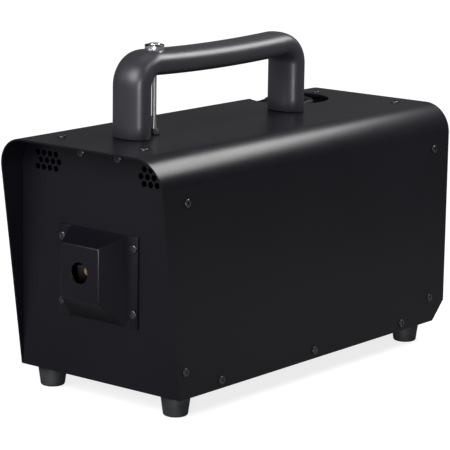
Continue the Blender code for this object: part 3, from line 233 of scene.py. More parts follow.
@dataclass(frozen=True)
class Finish:
    """Common part of every finish."""

    name: str
    colour: tuple[float, float, float]
    roughness: float
    metallic: float = 0.0

    def make(self) -> Material:
        """Build the material."""
        shader = Shader(self.name)
        shader.set(Base_Color=self.colour, Roughness=self.roughness, Metallic=self.metallic)
        self.vary(shader)
        return shader.material

    def vary(self, shader: Shader) -> None:
        """Add what changes over the surface."""


@dataclass(frozen=True)
class PowderCoat(Finish):
    """Satin powder coat: fine grain, orange peel, soft patches of handling."""

    specular: float = 0.28
    grain: float = 2600.0
    peel: float = 520.0

    def vary(self, shader: Shader) -> None:
        """Grain and peel in the normal, patches in roughness and colour."""
        patches = shader.window(shader.noise(9.0, 4.0), 0.3, 0.7)
        specks = shader.noise(self.grain, 1.0)
        dark = tuple(0.82 * c for c in self.colour)
        light = tuple(1.25 * c for c in self.colour)
        peel = shader.bump(shader.noise(self.peel, 1.0), 0.02 * MM, 0.35)
        shader.set(Base_Color=shader.blend(patches * 0.5 + specks * 0.5, dark, light),
                   Roughness=patches * 0.07 + specks * 0.06 + (self.roughness - 0.06),
                   Normal=shader.bump(specks, 0.03 * MM, 0.55, peel),
                   Specular_IOR_Level=self.specular)


@dataclass(frozen=True)
class Moulding(Finish):
    """Moulded plastic with a fine spark-eroded texture."""

    grain: float = 1900.0
    depth: float = 0.025
    specular: float = 0.5

    def vary(self, shader: Shader) -> None:
        """Stipple in the normal and slight polish from hands."""
        stipple = shader.noise(self.grain, 1.0)
        rubbed = shader.window(shader.noise(22.0, 3.0), 0.35, 0.7)
        dark = tuple(0.9 * c for c in self.colour)
        light = tuple(1.12 * c for c in self.colour)
        shader.set(Base_Color=shader.blend(rubbed * 0.6 + stipple * 0.4, dark, light),
                   Roughness=self.roughness - rubbed * 0.06 + stipple * 0.05,
                   Normal=shader.bump(stipple, self.depth * MM, 0.6),
                   Specular_IOR_Level=self.specular)


@dataclass(frozen=True)
class RubberMould(Finish):
    """Matt rubber with a dusty bloom."""

    def vary(self, shader: Shader) -> None:
        """Bloom in the colour and pores in the normal."""
        bloom = shader.window(shader.noise(85.0, 4.0), 0.35, 0.75)
        pores = shader.noise(1500.0, 2.0)
        dusty = tuple(1.7 * c + 0.004 for c in self.colour)
        shader.set(Base_Color=shader.blend(bloom, self.colour, dusty),
                   Roughness=self.roughness + bloom * 0.1,
                   Normal=shader.bump(pores, 0.05 * MM, 0.6), Specular_IOR_Level=0.35)


@dataclass(frozen=True)
class Plating(Finish):
    """Bright plating with hairlines and finger marks."""

    def vary(self, shader: Shader) -> None:
        """Fine hairlines and smears in the roughness."""
        hair = shader.noise(700.0, 2.0, shader.place((1.0, 1.0, 0.08)))
        smear = shader.window(shader.noise(160.0, 3.0), 0.4, 0.7)
        dull = tuple(0.88 * c for c in self.colour)
        shader.set(Base_Color=shader.blend(smear, self.colour, dull),
                   Roughness=self.roughness + smear * 0.08 + hair * 0.04,
                   Normal=shader.bump(hair, 0.001 * MM, 0.2))


@dataclass(frozen=True)
class TurnedMetal(Finish):
    """Lathe-turned metal with tool rings and heat tint along its axis."""

    centre: tuple[float, float, float] = (0.0, 0.0, 0.0)
    tint: tuple[float, float, float] = (0.35, 0.16, 0.06)

    def vary(self, shader: Shader) -> None:
        """Rings in the normal, tarnish in colour and roughness."""
        place = shader.place(centre=self.centre)
        rings = shader.node("ShaderNodeTexWave", {"wave_type": "BANDS", "bands_direction": "Y"},
                            {"Vector": place, "Scale": 900.0, "Distortion": 0.4}, "Fac")
        stain = shader.window(shader.noise(170.0, 4.0, place), 0.42, 0.72)
        shader.set(Base_Color=shader.blend(stain, self.colour, self.tint),
                   Roughness=self.roughness + stain * 0.2,
                   Normal=shader.bump(rings, 0.02 * MM, 0.4))


@dataclass(frozen=True)
class SheetMetal(Finish):
    """Plated or cast metal with a drawn grain and cloudy patches."""

    stretch: tuple[float, float, float] = (1.0, 0.05, 1.0)

    def vary(self, shader: Shader) -> None:
        """Drawn grain and cloudy patches."""
        grain = shader.noise(900.0, 2.0, shader.place(self.stretch))
        cloud = shader.window(shader.noise(40.0, 4.0), 0.3, 0.7)
        dull = tuple(0.75 * c for c in self.colour)
        shader.set(Base_Color=shader.blend(cloud * 0.6 + grain * 0.4, self.colour, dull),
                   Roughness=self.roughness + cloud * 0.14 + grain * 0.06,
                   Normal=shader.bump(grain, 0.01 * MM, 0.4))


@dataclass(frozen=True)
class Fibres(Finish):
    """Pressed mineral wool."""

    def vary(self, shader: Shader) -> None:
        """Matted fibres."""
        mat = shader.noise(420.0, 6.0, shader.place((1.0, 0.25, 1.0)))
        dark = tuple(0.6 * c for c in self.colour)
        shader.set(Base_Color=shader.blend(mat, dark, self.colour),
                   Normal=shader.bump(mat, 0.6 * MM, 0.8))


@dataclass(frozen=True)
class Board(Finish):
    """Circuit board with copper tracks under the solder mask."""

    track: tuple[float, float, float] = (0.06, 0.34, 0.14)

    def vary(self, shader: Shader) -> None:
        """Tracks as raised, lighter lines."""
        lines = shader.node("ShaderNodeTexVoronoi", {"feature": "DISTANCE_TO_EDGE"},
                            {"Vector": shader.place(), "Scale": 190.0}, "Distance")
        edge = shader.window(lines, 0.02, 0.06)
        shader.set(Base_Color=shader.blend(edge, self.track, self.colour),
                   Normal=shader.bump(1.0 - edge, 0.03 * MM, 0.6))


@dataclass(frozen=True)
class Milky(Finish):
    """Blow-moulded tank plastic with soft clouding."""

    def vary(self, shader: Shader) -> None:
        """Clouding and slow ripples of the mould."""
        cloud = shader.noise(30.0, 3.0)
        dull = tuple(0.86 * c for c in self.colour)
        shader.set(Base_Color=shader.blend(cloud, dull, self.colour),
                   Roughness=self.roughness + cloud * 0.1,
                   Normal=shader.bump(shader.noise(140.0, 2.0), 0.15 * MM, 0.4),
                   Subsurface_Weight=0.25, Subsurface_Scale=4 * MM)


@dataclass(frozen=True)
class Lens(Finish):
    """Tinted lamp lens."""

    def vary(self, shader: Shader) -> None:
        """Faint prisms inside the lens."""
        prisms = shader.noise(1200.0, 0.0)
        pale = tuple(min(1.0, 1.5 * c + 0.02) for c in self.colour)
        shader.set(Base_Color=shader.blend(prisms, self.colour, pale), Coat_Weight=0.6,
                   Normal=shader.bump(prisms, 0.03 * MM, 0.4))


@dataclass(frozen=True)
class Ink(Finish):
    """Pad-printed marks, slightly uneven."""

    def vary(self, shader: Shader) -> None:
        """Uneven ink."""
        patch = shader.noise(800.0, 2.0)
        thin = tuple(0.75 * c for c in self.colour)
        shader.set(Base_Color=shader.blend(patch, thin, self.colour))


@dataclass
class Palette:
    """Every finish of the machine, made once."""

    made: dict[str, Material] = field(default_factory=dict)

    def build(self) -> None:
        """Make all materials, named after the record's slots where one exists."""
        nozzle_low, nozzle_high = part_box("nozzle")
        axis = tuple((nozzle_low + nozzle_high) / 2)
        finishes = (
            PowderCoat("powder_coat", (0.0042, 0.0038, 0.0066), 0.33),
            PowderCoat("black_screw", (0.012, 0.012, 0.014), 0.20, 0.0, 1.0, 3000.0, 900.0),
            Moulding("handle_grey", (0.024, 0.0225, 0.029), 0.38, specular=0.50),
            Moulding("black_plastic", (0.010, 0.010, 0.011), 0.36),
            Moulding("cap_black", (0.006, 0.006, 0.0065), 0.55, depth=0.05, specular=0.22),
            RubberMould("rubber", (0.017, 0.018, 0.020), 0.50),
            Plating("chrome", (0.86, 0.86, 0.87), 0.20, 1.0),
            # Chrome ring coloured dark metal: painted dark reflection of the surroundings on the
            # button's top rim
            Plating("rim_painted_dark_reflection", (0.06, 0.06, 0.065), 0.24, 1.0),
            TurnedMetal("brass", (0.92, 0.64, 0.28), 0.34, 1.0, axis),
            SheetMetal("bare_steel", (0.56, 0.56, 0.57), 0.32, 1.0),
            SheetMetal("aluminium", (0.72, 0.72, 0.73), 0.38, 1.0),
            Fibres("wool", (0.62, 0.60, 0.54), 0.95),
            Board("board_green", (0.015, 0.13, 0.055), 0.35),
            Milky("natural_plastic", (0.62, 0.62, 0.58), 0.38),
            Milky("hose", (0.66, 0.66, 0.64), 0.30),
            Moulding("battery_grey", (0.09, 0.09, 0.10), 0.42),
            Lens("lamp_green", (0.04, 0.42, 0.10), 0.12),
            Ink("white_ink", (0.62, 0.62, 0.63), 0.55),
        )
        for finish in finishes:
            self.made[finish.name] = finish.make()

    def __getitem__(self, name: str) -> Material:
        """A material by its name."""
        return self.made[name]


# ---------------------------------------------------------------- mesh workshop


def stand(name: str, data: bpy.types.ID) -> Object:
    """Make an object from its data and put it in the scene."""
    item = bpy.data.objects.new(name, data)
    bpy.context.scene.collection.objects.link(item)
    return item


def baked(name: str, shape: bmesh.types.BMesh) -> bpy.types.Mesh:
    """Mesh of a shape with its faces turned outward; the shape is freed."""
    bmesh.ops.recalc_face_normals(shape, faces=shape.faces)
    mesh = bpy.data.meshes.new(name)
    shape.to_mesh(mesh)
    shape.free()
    return mesh


class Workshop:
    """Turns bmesh shapes into finished pieces that ride on the frame."""

    def __init__(self, palette: Palette) -> None:
        """Remember the materials."""
        self.palette = palette

    def piece(self, name: str, shape: bmesh.types.BMesh, finish: str, body: str = HOME,
              replaces: tuple[str, ...] = (), sharp: float = 35.0) -> Object:
        """Make a piece from a shape that is already in place.

        Args:
            name: the piece's name.
            shape: closed bmesh in row-frame metres; it is freed.
            finish: the material's name.
            body: the body that it rides on.
            replaces: CAD nodes that it stands for.
            sharp: angle in degrees above which an edge stays sharp.

        Returns:
            The new object.
        """
        return self.adopt(name, baked(name, shape), finish, body, replaces, sharp)

    def adopt(self, name: str, mesh: bpy.types.Mesh, finish: str, body: str = HOME,
              replaces: tuple[str, ...] = (), sharp: float = 35.0) -> Object:
        """Make a piece from a mesh; the arguments are those of piece."""
        mesh.shade_smooth()
        mesh.set_sharp_from_angle(angle=math.radians(sharp))
        mesh.materials.clear()
        mesh.materials.append(self.palette[finish])
        item = stand(name, mesh)
        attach(item, body)
        if replaces:
            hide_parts(*replaces)
        LOG.info("piece %s on %s: %d faces", name, body, len(mesh.polygons))
        return item

    @staticmethod
    def carve(shape: bmesh.types.BMesh, cutters: list[bmesh.types.BMesh],
              union: bool = False) -> bmesh.types.BMesh:
        """Cut shapes away from a shape, or weld them on.

        Args:
            shape: the solid; it is freed.
            cutters: closed shapes; they are freed.
            union: weld instead of cut.

        Returns:
            A new bmesh with the result.
        """
        base = stand("base", baked("base", shape))
        helpers = [base]
        for cutter in cutters:
            tool = stand("tool", baked("tool", cutter))
            step = base.modifiers.new("step", "BOOLEAN")
            step.operation = "UNION" if union else "DIFFERENCE"
            step.solver = "EXACT"
            step.object = tool
            helpers.append(tool)
        graph = bpy.context.evaluated_depsgraph_get()
        result = bmesh.new()
        result.from_mesh(base.evaluated_get(graph).to_mesh())
        for helper in helpers:
            mesh = helper.data
            bpy.data.objects.remove(helper, do_unlink=True)
            bpy.data.meshes.remove(mesh)
        return result


def facing(centre: Vector, direction: Vector) -> Matrix:
    """Matrix that turns +Z to a direction and moves the origin to a centre."""
    turn = UP.rotation_difference(Vector(direction))
    return Matrix.Translation(centre) @ turn.to_matrix().to_4x4()


def turned(profile: list[tuple[float, float]], place: Matrix, steps: int = 64) -> bmesh.types.BMesh:
    """Spin (radius, height) points into a solid.

    Args:
        profile: points from axis to axis, or a closed loop for a ring.
        place: matrix from the lathe's frame to the row frame.
        steps: facets round the axis.

    Returns:
        The solid.
    """
    shape = bmesh.new()
    points = [shape.verts.new((radius, 0.0, height)) for radius, height in profile]
    edges = [shape.edges.new(pair) for pair in zip(points, points[1:])]
    if profile[0][0] > 0.0:
        edges.append(shape.edges.new((points[-1], points[0])))
    bmesh.ops.spin(shape, geom=points + edges, cent=(0, 0, 0), axis=UP, angle=math.tau,
                   steps=steps, use_merge=True)
    bmesh.ops.remove_doubles(shape, verts=shape.verts, dist=0.0005 * MM)
    bmesh.ops.transform(shape, matrix=place, verts=shape.verts)
    return shape


def block(low: Vector, high: Vector, bevel: float = 0.0, segments: int = 2) -> bmesh.types.BMesh:
    """Box between two corners, with its edges rounded if bevel is set."""
    shape = bmesh.new()
    size = Vector(high) - Vector(low)
    place = Matrix.Translation((Vector(low) + Vector(high)) / 2) @ Matrix.Diagonal((*size, 1.0))
    bmesh.ops.create_cube(shape, size=1.0, matrix=place)
    if bevel:
        soften(shape, list(shape.edges), bevel, segments)
    return shape


def soften(shape: bmesh.types.BMesh, edges: list, width: float, segments: int = 2) -> None:
    """Round edges by a width."""
    bmesh.ops.bevel(shape, geom=edges, offset=width, offset_type="OFFSET", segments=segments,
                    profile=0.5, affect="EDGES", clamp_overlap=True, material=-1)


def rod(start: Vector, end: Vector, radius: float, segments: int = 32) -> bmesh.types.BMesh:
    """Cylinder between two points."""
    shape = bmesh.new()
    start, end = Vector(start), Vector(end)
    bmesh.ops.create_cone(shape, cap_ends=True, segments=segments, radius1=radius, radius2=radius,
                          depth=(end - start).length, matrix=facing((start + end) / 2, end - start))
    return shape


def rounded(radius: float, height: float, edge: float, steps: int = 5) -> list[tuple[float, float]]:
    """Profile points of a rounded upper rim, from the wall to the flat top."""
    return [(radius - edge + edge * math.cos(math.pi / 2 * i / steps),
             height - edge + edge * math.sin(math.pi / 2 * i / steps)) for i in range(steps + 1)]


def top_face(shape: bmesh.types.BMesh) -> bmesh.types.BMFace:
    """Highest face of a shape."""
    return max(shape.faces, key=lambda face: face.calc_center_median().z)


def fluted(radius: float, depth: float, ribs: int, grooves: tuple[int, ...],
           height: float) -> tuple[bmesh.types.BMesh, list]:
    """Upright prism with grooves round its rim.

    Args:
        radius: outer radius.
        depth: how deep the grooves are.
        ribs: number of ribs, each drawn with four points.
        grooves: which of a rib's four points are sunk.
        height: the prism's height.

    Returns:
        The solid and its upper points.
    """
    shape = bmesh.new()
    bmesh.ops.create_circle(shape, cap_ends=True, segments=ribs * 4, radius=radius)
    points = sorted(shape.verts, key=lambda point: math.atan2(point.co.y, point.co.x))
    for number, point in enumerate(points):
        if number % 4 in grooves:
            point.co *= (radius - depth) / radius
    raised = bmesh.ops.extrude_face_region(shape, geom=list(shape.faces))
    top = [item for item in raised["geom"] if isinstance(item, bmesh.types.BMVert)]
    bmesh.ops.translate(shape, vec=(0, 0, height), verts=top)
    return shape, top


def crown(radius: float, low: float, high: float, steps: int = 6) -> list[tuple[float, float]]:
    """Profile points of a shallow dome from its rim to its top on the axis."""
    return [(radius * math.cos(math.pi / 2 * i / steps),
             low + (high - low) * math.sin(math.pi / 2 * i / steps)) for i in range(steps + 1)]


# ---------------------------------------------------------------- enclosure

@dataclass
class Enclosure:
    """Folded cover and the hood over the nozzle."""

    shop: Workshop
    sheet: float = 1.5 * MM
    corner: float = 26.1 * MM
    slant: float = 27.2 * MM
    chamfer: float = 17.0 * MM
    filler_radius: float = 37.0 * MM
    arc_steps: int = 24
    hood_sheet: float = 1.2 * MM
    hood_fold: float = 1.3 * MM
    hood_base_half: float = 32.5 * MM
    hood_face_half: float = 20.5 * MM
    hood_face_rise: float = 21.9 * MM
    hood_face_drop: float = 9.3 * MM
    hood_lap: float = 3.0 * MM
    hood_hole: float = 9.0 * MM
    overcut: float = 5.0 * MM
    grommet_bore: float = 4.2 * MM
    cut_edge: float = 0.42 * MM

    def build(self) -> None:
        """Make the cover and the hood."""
        self.build_cover()
        self.build_hood()

    def build_cover(self) -> None:
        """Skin by extrude and spin, trimmed at both ends, then thickened inward."""
        low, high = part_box("cover")
        shape = bmesh.new()
        foot = shape.verts.new((high.x, low.y, low.z))
        reach = self.corner
        rise = (high.z - low.z) - reach
        across = (high.x - low.x) - 2 * reach
        tip = self._grow(shape, foot, Vector((0, 0, rise)), 1)
        tip = self._swing(shape, tip, Vector((high.x - reach, low.y, high.z - reach)))
        tip = self._grow(shape, tip, Vector((-across, 0, 0)), 1)
        tip = self._swing(shape, tip, Vector((low.x + reach, low.y, high.z - reach)))
        self._grow(shape, tip, Vector((0, 0, -rise)), 1)
        raised = bmesh.ops.extrude_edge_only(shape, edges=list(shape.edges))
        ends = [v for v in raised["geom"] if isinstance(v, bmesh.types.BMVert)]
        bmesh.ops.translate(shape, vec=(0, high.y - low.y, 0), verts=ends)
        front_face = low.y + self.slant
        rear_face = high.y - self.chamfer
        self._trim(shape, Vector((0, front_face, low.z)),
                   Vector((0, -(high.z - low.z), -self.slant)))
        self._trim(shape, Vector((0, rear_face, low.z)), Vector((0, 1, -1)))
        bmesh.ops.recalc_face_normals(shape, faces=shape.faces)
        if self._looks_inward(shape):
            bmesh.ops.reverse_faces(shape, faces=shape.faces)
        bmesh.ops.solidify(shape, geom=list(shape.faces), thickness=self.sheet)
        tank_low, tank_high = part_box("tank_cap")
        centre = (tank_low + tank_high) / 2
        hole = rod((centre.x, centre.y, high.z - 1.5 * self.corner),
                   (centre.x, centre.y, high.z + self.overcut), self.filler_radius, 128)
        grommet_low, grommet_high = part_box("conduit_grommet")
        pit = (grommet_low + grommet_high) / 2
        bore = rod((pit.x, pit.y, high.z - self.overcut), (pit.x, pit.y, high.z + self.overcut),
                   self.grommet_bore)
        shape = self.shop.carve(shape, [hole, bore])
        cover = self.shop.piece("cover_skin", shape, "powder_coat", replaces=("cover",), sharp=30)
        edge = cover.modifiers.new("edges", "BEVEL")
        edge.width = self.cut_edge
        edge.segments = 3
        edge.limit_method = "ANGLE"
        edge.angle_limit = math.radians(50)
        edge.harden_normals = True

    @staticmethod
    def _grow(shape: bmesh.types.BMesh, tip: bmesh.types.BMVert, move: Vector,
              steps: int) -> bmesh.types.BMVert:
        """Extrude a vertex along a move and return the new tip."""
        for _ in range(steps):
            made = bmesh.ops.extrude_vert_indiv(shape, verts=[tip])
            tip = made["verts"][0]
            bmesh.ops.translate(shape, vec=move / steps, verts=[tip])
        return tip

    def _swing(self, shape: bmesh.types.BMesh, tip: bmesh.types.BMVert,
               centre: Vector) -> bmesh.types.BMVert:
        """Spin a vertex through a quarter turn towards -X and return the new tip."""
        made = bmesh.ops.spin(shape, geom=[tip], cent=centre, axis=(0, -1, 0),
                              angle=math.pi / 2, steps=self.arc_steps)
        return [v for v in made["geom_last"] if isinstance(v, bmesh.types.BMVert)][0]

    @staticmethod
    def _trim(shape: bmesh.types.BMesh, point: Vector, outward: Vector) -> None:
        """Cut off what lies beyond a plane."""
        geom = list(shape.verts) + list(shape.edges) + list(shape.faces)
        bmesh.ops.bisect_plane(shape, geom=geom, plane_co=point, plane_no=outward,
                               clear_outer=True, dist=0.001 * MM)

    @staticmethod
    def _looks_inward(shape: bmesh.types.BMesh) -> bool:
        """Whether the top face's normal points down."""
        shape.faces.ensure_lookup_table()
        return top_face(shape).normal.z < 0

    def build_hood(self) -> None:
        """Nozzle hood: one folded sheet with soft folds and two screwed flanges."""
        low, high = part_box("nozzle_cover")
        base_half = self.hood_base_half
        face_half = self.hood_face_half
        face_low = low.z + self.hood_face_rise
        face_high = high.z - self.hood_face_drop
        back, front = high.y, low.y
        shape = block((-base_half, front, low.z), (base_half, back, high.z))
        for corner in shape.verts:
            if corner.co.y < (front + back) / 2:
                corner.co.x = math.copysign(face_half, corner.co.x)
                corner.co.z = face_high if corner.co.z > (low.z + high.z) / 2 else face_low
        folds = [e for e in shape.edges if min(v.co.y for v in e.verts) < back - 1 * MM]
        soften(shape, folds, self.hood_fold, 4)
        plates = []
        for side in (-1, 1):
            ends = sorted((side * (base_half - self.hood_lap), side * high.x))
            plates.append(block((ends[0], back - self.hood_sheet, low.z),
                                (ends[1], back, high.z), 0.35 * MM))
        shape = self.shop.carve(shape, plates, union=True)
        wall = self.hood_sheet * 1.3
        inner = block((wall - base_half, front + self.hood_sheet, low.z + wall),
                      (base_half - wall, back + 1 * MM, high.z - wall))
        for corner in inner.verts:
            if corner.co.y < (front + back) / 2:
                corner.co.x = math.copysign(face_half - wall, corner.co.x)
                corner.co.z = (face_high - wall if corner.co.z > (low.z + high.z) / 2
                               else face_low + wall)
        nozzle_low, nozzle_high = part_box("nozzle")
        axis = (nozzle_low + nozzle_high) / 2
        hole = rod((axis.x, front - 2 * MM, axis.z), (axis.x, front + 6 * MM, axis.z),
                   self.hood_hole, 64)
        shape = self.shop.carve(shape, [inner, hole])
        self.shop.piece("nozzle_hood", shape, "powder_coat", replaces=("nozzle_cover",), sharp=28)


# ---------------------------------------------------------------- fasteners

@dataclass
class Fasteners:
    """Pan-head screws with a cross recess."""

    shop: Workshop
    radius: float = 3.5 * MM
    height: float = 1.7 * MM
    recess_width: float = 0.95 * MM
    recess_reach: float = 1.9 * MM
    recess_depth: float = 1.1 * MM
    first_turn: float = 19.8
    turn_per_metre: float = 40.0
    row_shares: tuple[float, float, float] = (0.197, 0.511, 0.833)
    row_height: float = 7.0 * MM
    socket_inset: float = 3.2 * MM
    socket_scale: float = 0.62
    master: bpy.types.Mesh | None = None

    def build(self) -> None:
        """Dress every CAD screw and add those of the lower edges and the remote socket."""
        self.make_master()
        groups = (("top_screw", 4, Facing.TOP), ("panel_screw", 2, Facing.FRONT),
                  ("nozzle_cover_screw", 4, Facing.FRONT), ("right_screw", 4, Facing.RIGHT),
                  ("left_screw", 4, Facing.LEFT))
        for name, count, way in groups:
            for number in range(1, count + 1):
                self.dress(f"{name}_{number}", way)
        self.lower_rows()
        self.socket_plate()

    def make_master(self) -> None:
        """One screw in the lathe's frame, seated at height 0."""
        profile = [(0.0, -1.2 * MM), (1.9 * MM, -1.2 * MM), (1.9 * MM, 0.02 * MM),
                   (self.radius - 0.2 * MM, 0.02 * MM), (self.radius, 0.25 * MM),
                   (self.radius, 0.55 * self.height)]
        dome = crown(self.radius, 0.55 * self.height, self.height, 7)
        shape = turned(profile + dome[1:], Matrix(), 40)
        cutters = []
        for turn in (0.0, math.pi / 2):
            slot = block((-self.recess_reach, -self.recess_width / 2,
                          self.height - self.recess_depth),
                         (self.recess_reach, self.recess_width / 2, self.height + 1 * MM))
            bmesh.ops.rotate(slot, cent=(0, 0, 0), verts=slot.verts,
                             matrix=Matrix.Rotation(turn, 3, "Z"))
            cutters.append(slot)
        shape = self.shop.carve(shape, cutters)
        self.master = bpy.data.meshes.new("screw_master")
        shape.to_mesh(self.master)
        shape.free()

    def seat(self, name: str, place: Vector, way: Facing, turn: float,
             replaces: tuple[str, ...] = ()) -> None:
        """Put a screw at a place.

        Args:
            name: the piece's name.
            place: point on the seat's surface.
            way: where the head looks.
            turn: angle of the cross recess, in radians.
            replaces: the CAD node that it stands for.
        """
        mesh = self.master.copy()
        mesh.transform(facing(place, Vector(way.value)) @ Matrix.Rotation(turn, 4, "Z"))
        self.shop.adopt(name, mesh, "black_screw", replaces=replaces)

    def dress(self, node: str, way: Facing) -> None:
        """Stand a detailed screw in a CAD screw's place."""
        low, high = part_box(node)
        axis = Vector(way.value)
        middle = (low + high) / 2
        half = abs((high - low).dot(axis)) / 2
        place = middle + axis * (half - self.height)
        turn = self.first_turn + middle.z * self.turn_per_metre
        self.seat(f"{node}_head", place, way, turn, (node,))

    def lower_rows(self) -> None:
        """Three screws a side that hold the cover to the tray's rim."""
        low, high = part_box("cover")
        length = high.y - low.y
        for side, way in ((-1, Facing.LEFT), (1, Facing.RIGHT)):
            x = high.x if side > 0 else low.x
            for number, share in enumerate(self.row_shares, 1):
                place = Vector((x, low.y + share * length, low.z + self.row_height))
                self.seat(f"tray_screw_{way.name.lower()}_{number}", place, way, 0.7 * number)

    def socket_plate(self) -> None:
        """Two small screws on the remote socket's plate."""
        low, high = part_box("remote_socket")
        inset = self.socket_inset
        corners = ((low.x + inset, high.z - inset), (high.x - inset, low.z + inset))
        small = Matrix.Diagonal((*[self.socket_scale] * 3, 1.0))
        for number, (x, z) in enumerate(corners, 1):
            mesh = self.master.copy()
            mesh.transform(facing(Vector((x, high.y, z)), Vector(Facing.REAR.value)) @ small)
            self.shop.adopt(f"socket_screw_{number}", mesh, "black_screw")


# ---------------------------------------------------------------- handle and trigger

@dataclass
class CarryHandle:
    """Bridge handle: a superellipse section swept over two legs and a slightly sagging bar."""

    shop: Workshop
    squareness: float = 2.4
    half_thickness: float = 10.9 * MM
    bend: float = 18.4 * MM
    sag: float = 2.0 * MM
    around: int = 64
    bend_steps: int = 16
    bar_steps: int = 24
    rise: float = 61.2 * MM
    foot_edge: float = 0.5 * MM
    foot_shrink: tuple[float, float, float] = (0.975, 0.95, 1.0)

    def build(self) -> None:
        """Sweep the section up, round, along, round and down."""
        low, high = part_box("handle")
        half_width = (high.x - low.x) / 2
        cover_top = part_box("cover")[1].z
        half_thick = self.half_thickness
        front_y = low.y + half_thick
        rear_y = high.y - half_thick
        shape = bmesh.new()
        bmesh.ops.create_circle(shape, cap_ends=False, segments=self.around, radius=1.0)
        power = 2.0 / self.squareness
        for point in shape.verts:
            x, y = point.co.x, point.co.y
            point.co.x = half_width * math.copysign(abs(x) ** power, x)
            point.co.y = half_thick * math.copysign(abs(y) ** power, y)
        bmesh.ops.translate(shape, vec=(0, front_y, low.z + self.foot_edge), verts=shape.verts)
        ring = list(shape.edges)
        foot = list(ring)
        shoulder = cover_top + self.rise - self.bend
        ring = self._lift(shape, ring, Vector((0, 0, shoulder - low.z - self.foot_edge)), 4)
        ring = self._turn(shape, ring, Vector((0, front_y + self.bend, shoulder)))
        ring = self._bar(shape, ring, rear_y - front_y - 2 * self.bend)
        ring = self._turn(shape, ring, Vector((0, rear_y - self.bend, shoulder)))
        ring = self._lift(shape, ring, Vector((0, 0, low.z + self.foot_edge - shoulder)), 4)
        for loop in (foot, ring):
            self._close(shape, loop, low.z)
        self.shop.piece("handle_grip", shape, "handle_grey", replaces=("handle",), sharp=50)

    @staticmethod
    def _extrude(shape: bmesh.types.BMesh, ring: list) -> tuple[list, list]:
        """Extrude a ring of edges and return its new edges and vertices."""
        made = bmesh.ops.extrude_edge_only(shape, edges=ring)["geom"]
        verts = [item for item in made if isinstance(item, bmesh.types.BMVert)]
        edges = [item for item in made if isinstance(item, bmesh.types.BMEdge)]
        chosen = set(verts)
        return [e for e in edges if e.verts[0] in chosen and e.verts[1] in chosen], verts

    def _lift(self, shape: bmesh.types.BMesh, ring: list, move: Vector, steps: int) -> list:
        """Extrude a ring straight along a move."""
        for _ in range(steps):
            ring, verts = self._extrude(shape, ring)
            bmesh.ops.translate(shape, vec=move / steps, verts=verts)
        return ring

    def _turn(self, shape: bmesh.types.BMesh, ring: list, centre: Vector) -> list:
        """Spin a ring through a quarter turn over the top."""
        made = bmesh.ops.spin(shape, geom=ring, cent=centre, axis=(-1, 0, 0),
                              angle=math.pi / 2, steps=self.bend_steps)
        return [item for item in made["geom_last"] if isinstance(item, bmesh.types.BMEdge)]

    def _bar(self, shape: bmesh.types.BMesh, ring: list, length: float) -> list:
        """Extrude the bar in steps that follow its sag."""
        before = 0.0
        for step in range(1, self.bar_steps + 1):
            share = step / self.bar_steps
            drop = -self.sag * 4 * share * (1 - share)
            ring, verts = self._extrude(shape, ring)
            bmesh.ops.translate(shape, vec=(0, length / self.bar_steps, drop - before), verts=verts)
            before = drop
        return ring

    def _close(self, shape: bmesh.types.BMesh, loop: list, level: float) -> None:
        """Close a foot with a small rounded edge at a level."""
        ring, verts = self._extrude(shape, loop)
        middle = sum((v.co for v in verts), Vector()) / len(verts)
        bmesh.ops.translate(shape, vec=(0, 0, level - middle.z), verts=verts)
        bmesh.ops.scale(shape, vec=self.foot_shrink, verts=verts,
                        space=Matrix.Translation(-Vector((middle.x, middle.y, 0))))
        bmesh.ops.contextual_create(shape, geom=ring)


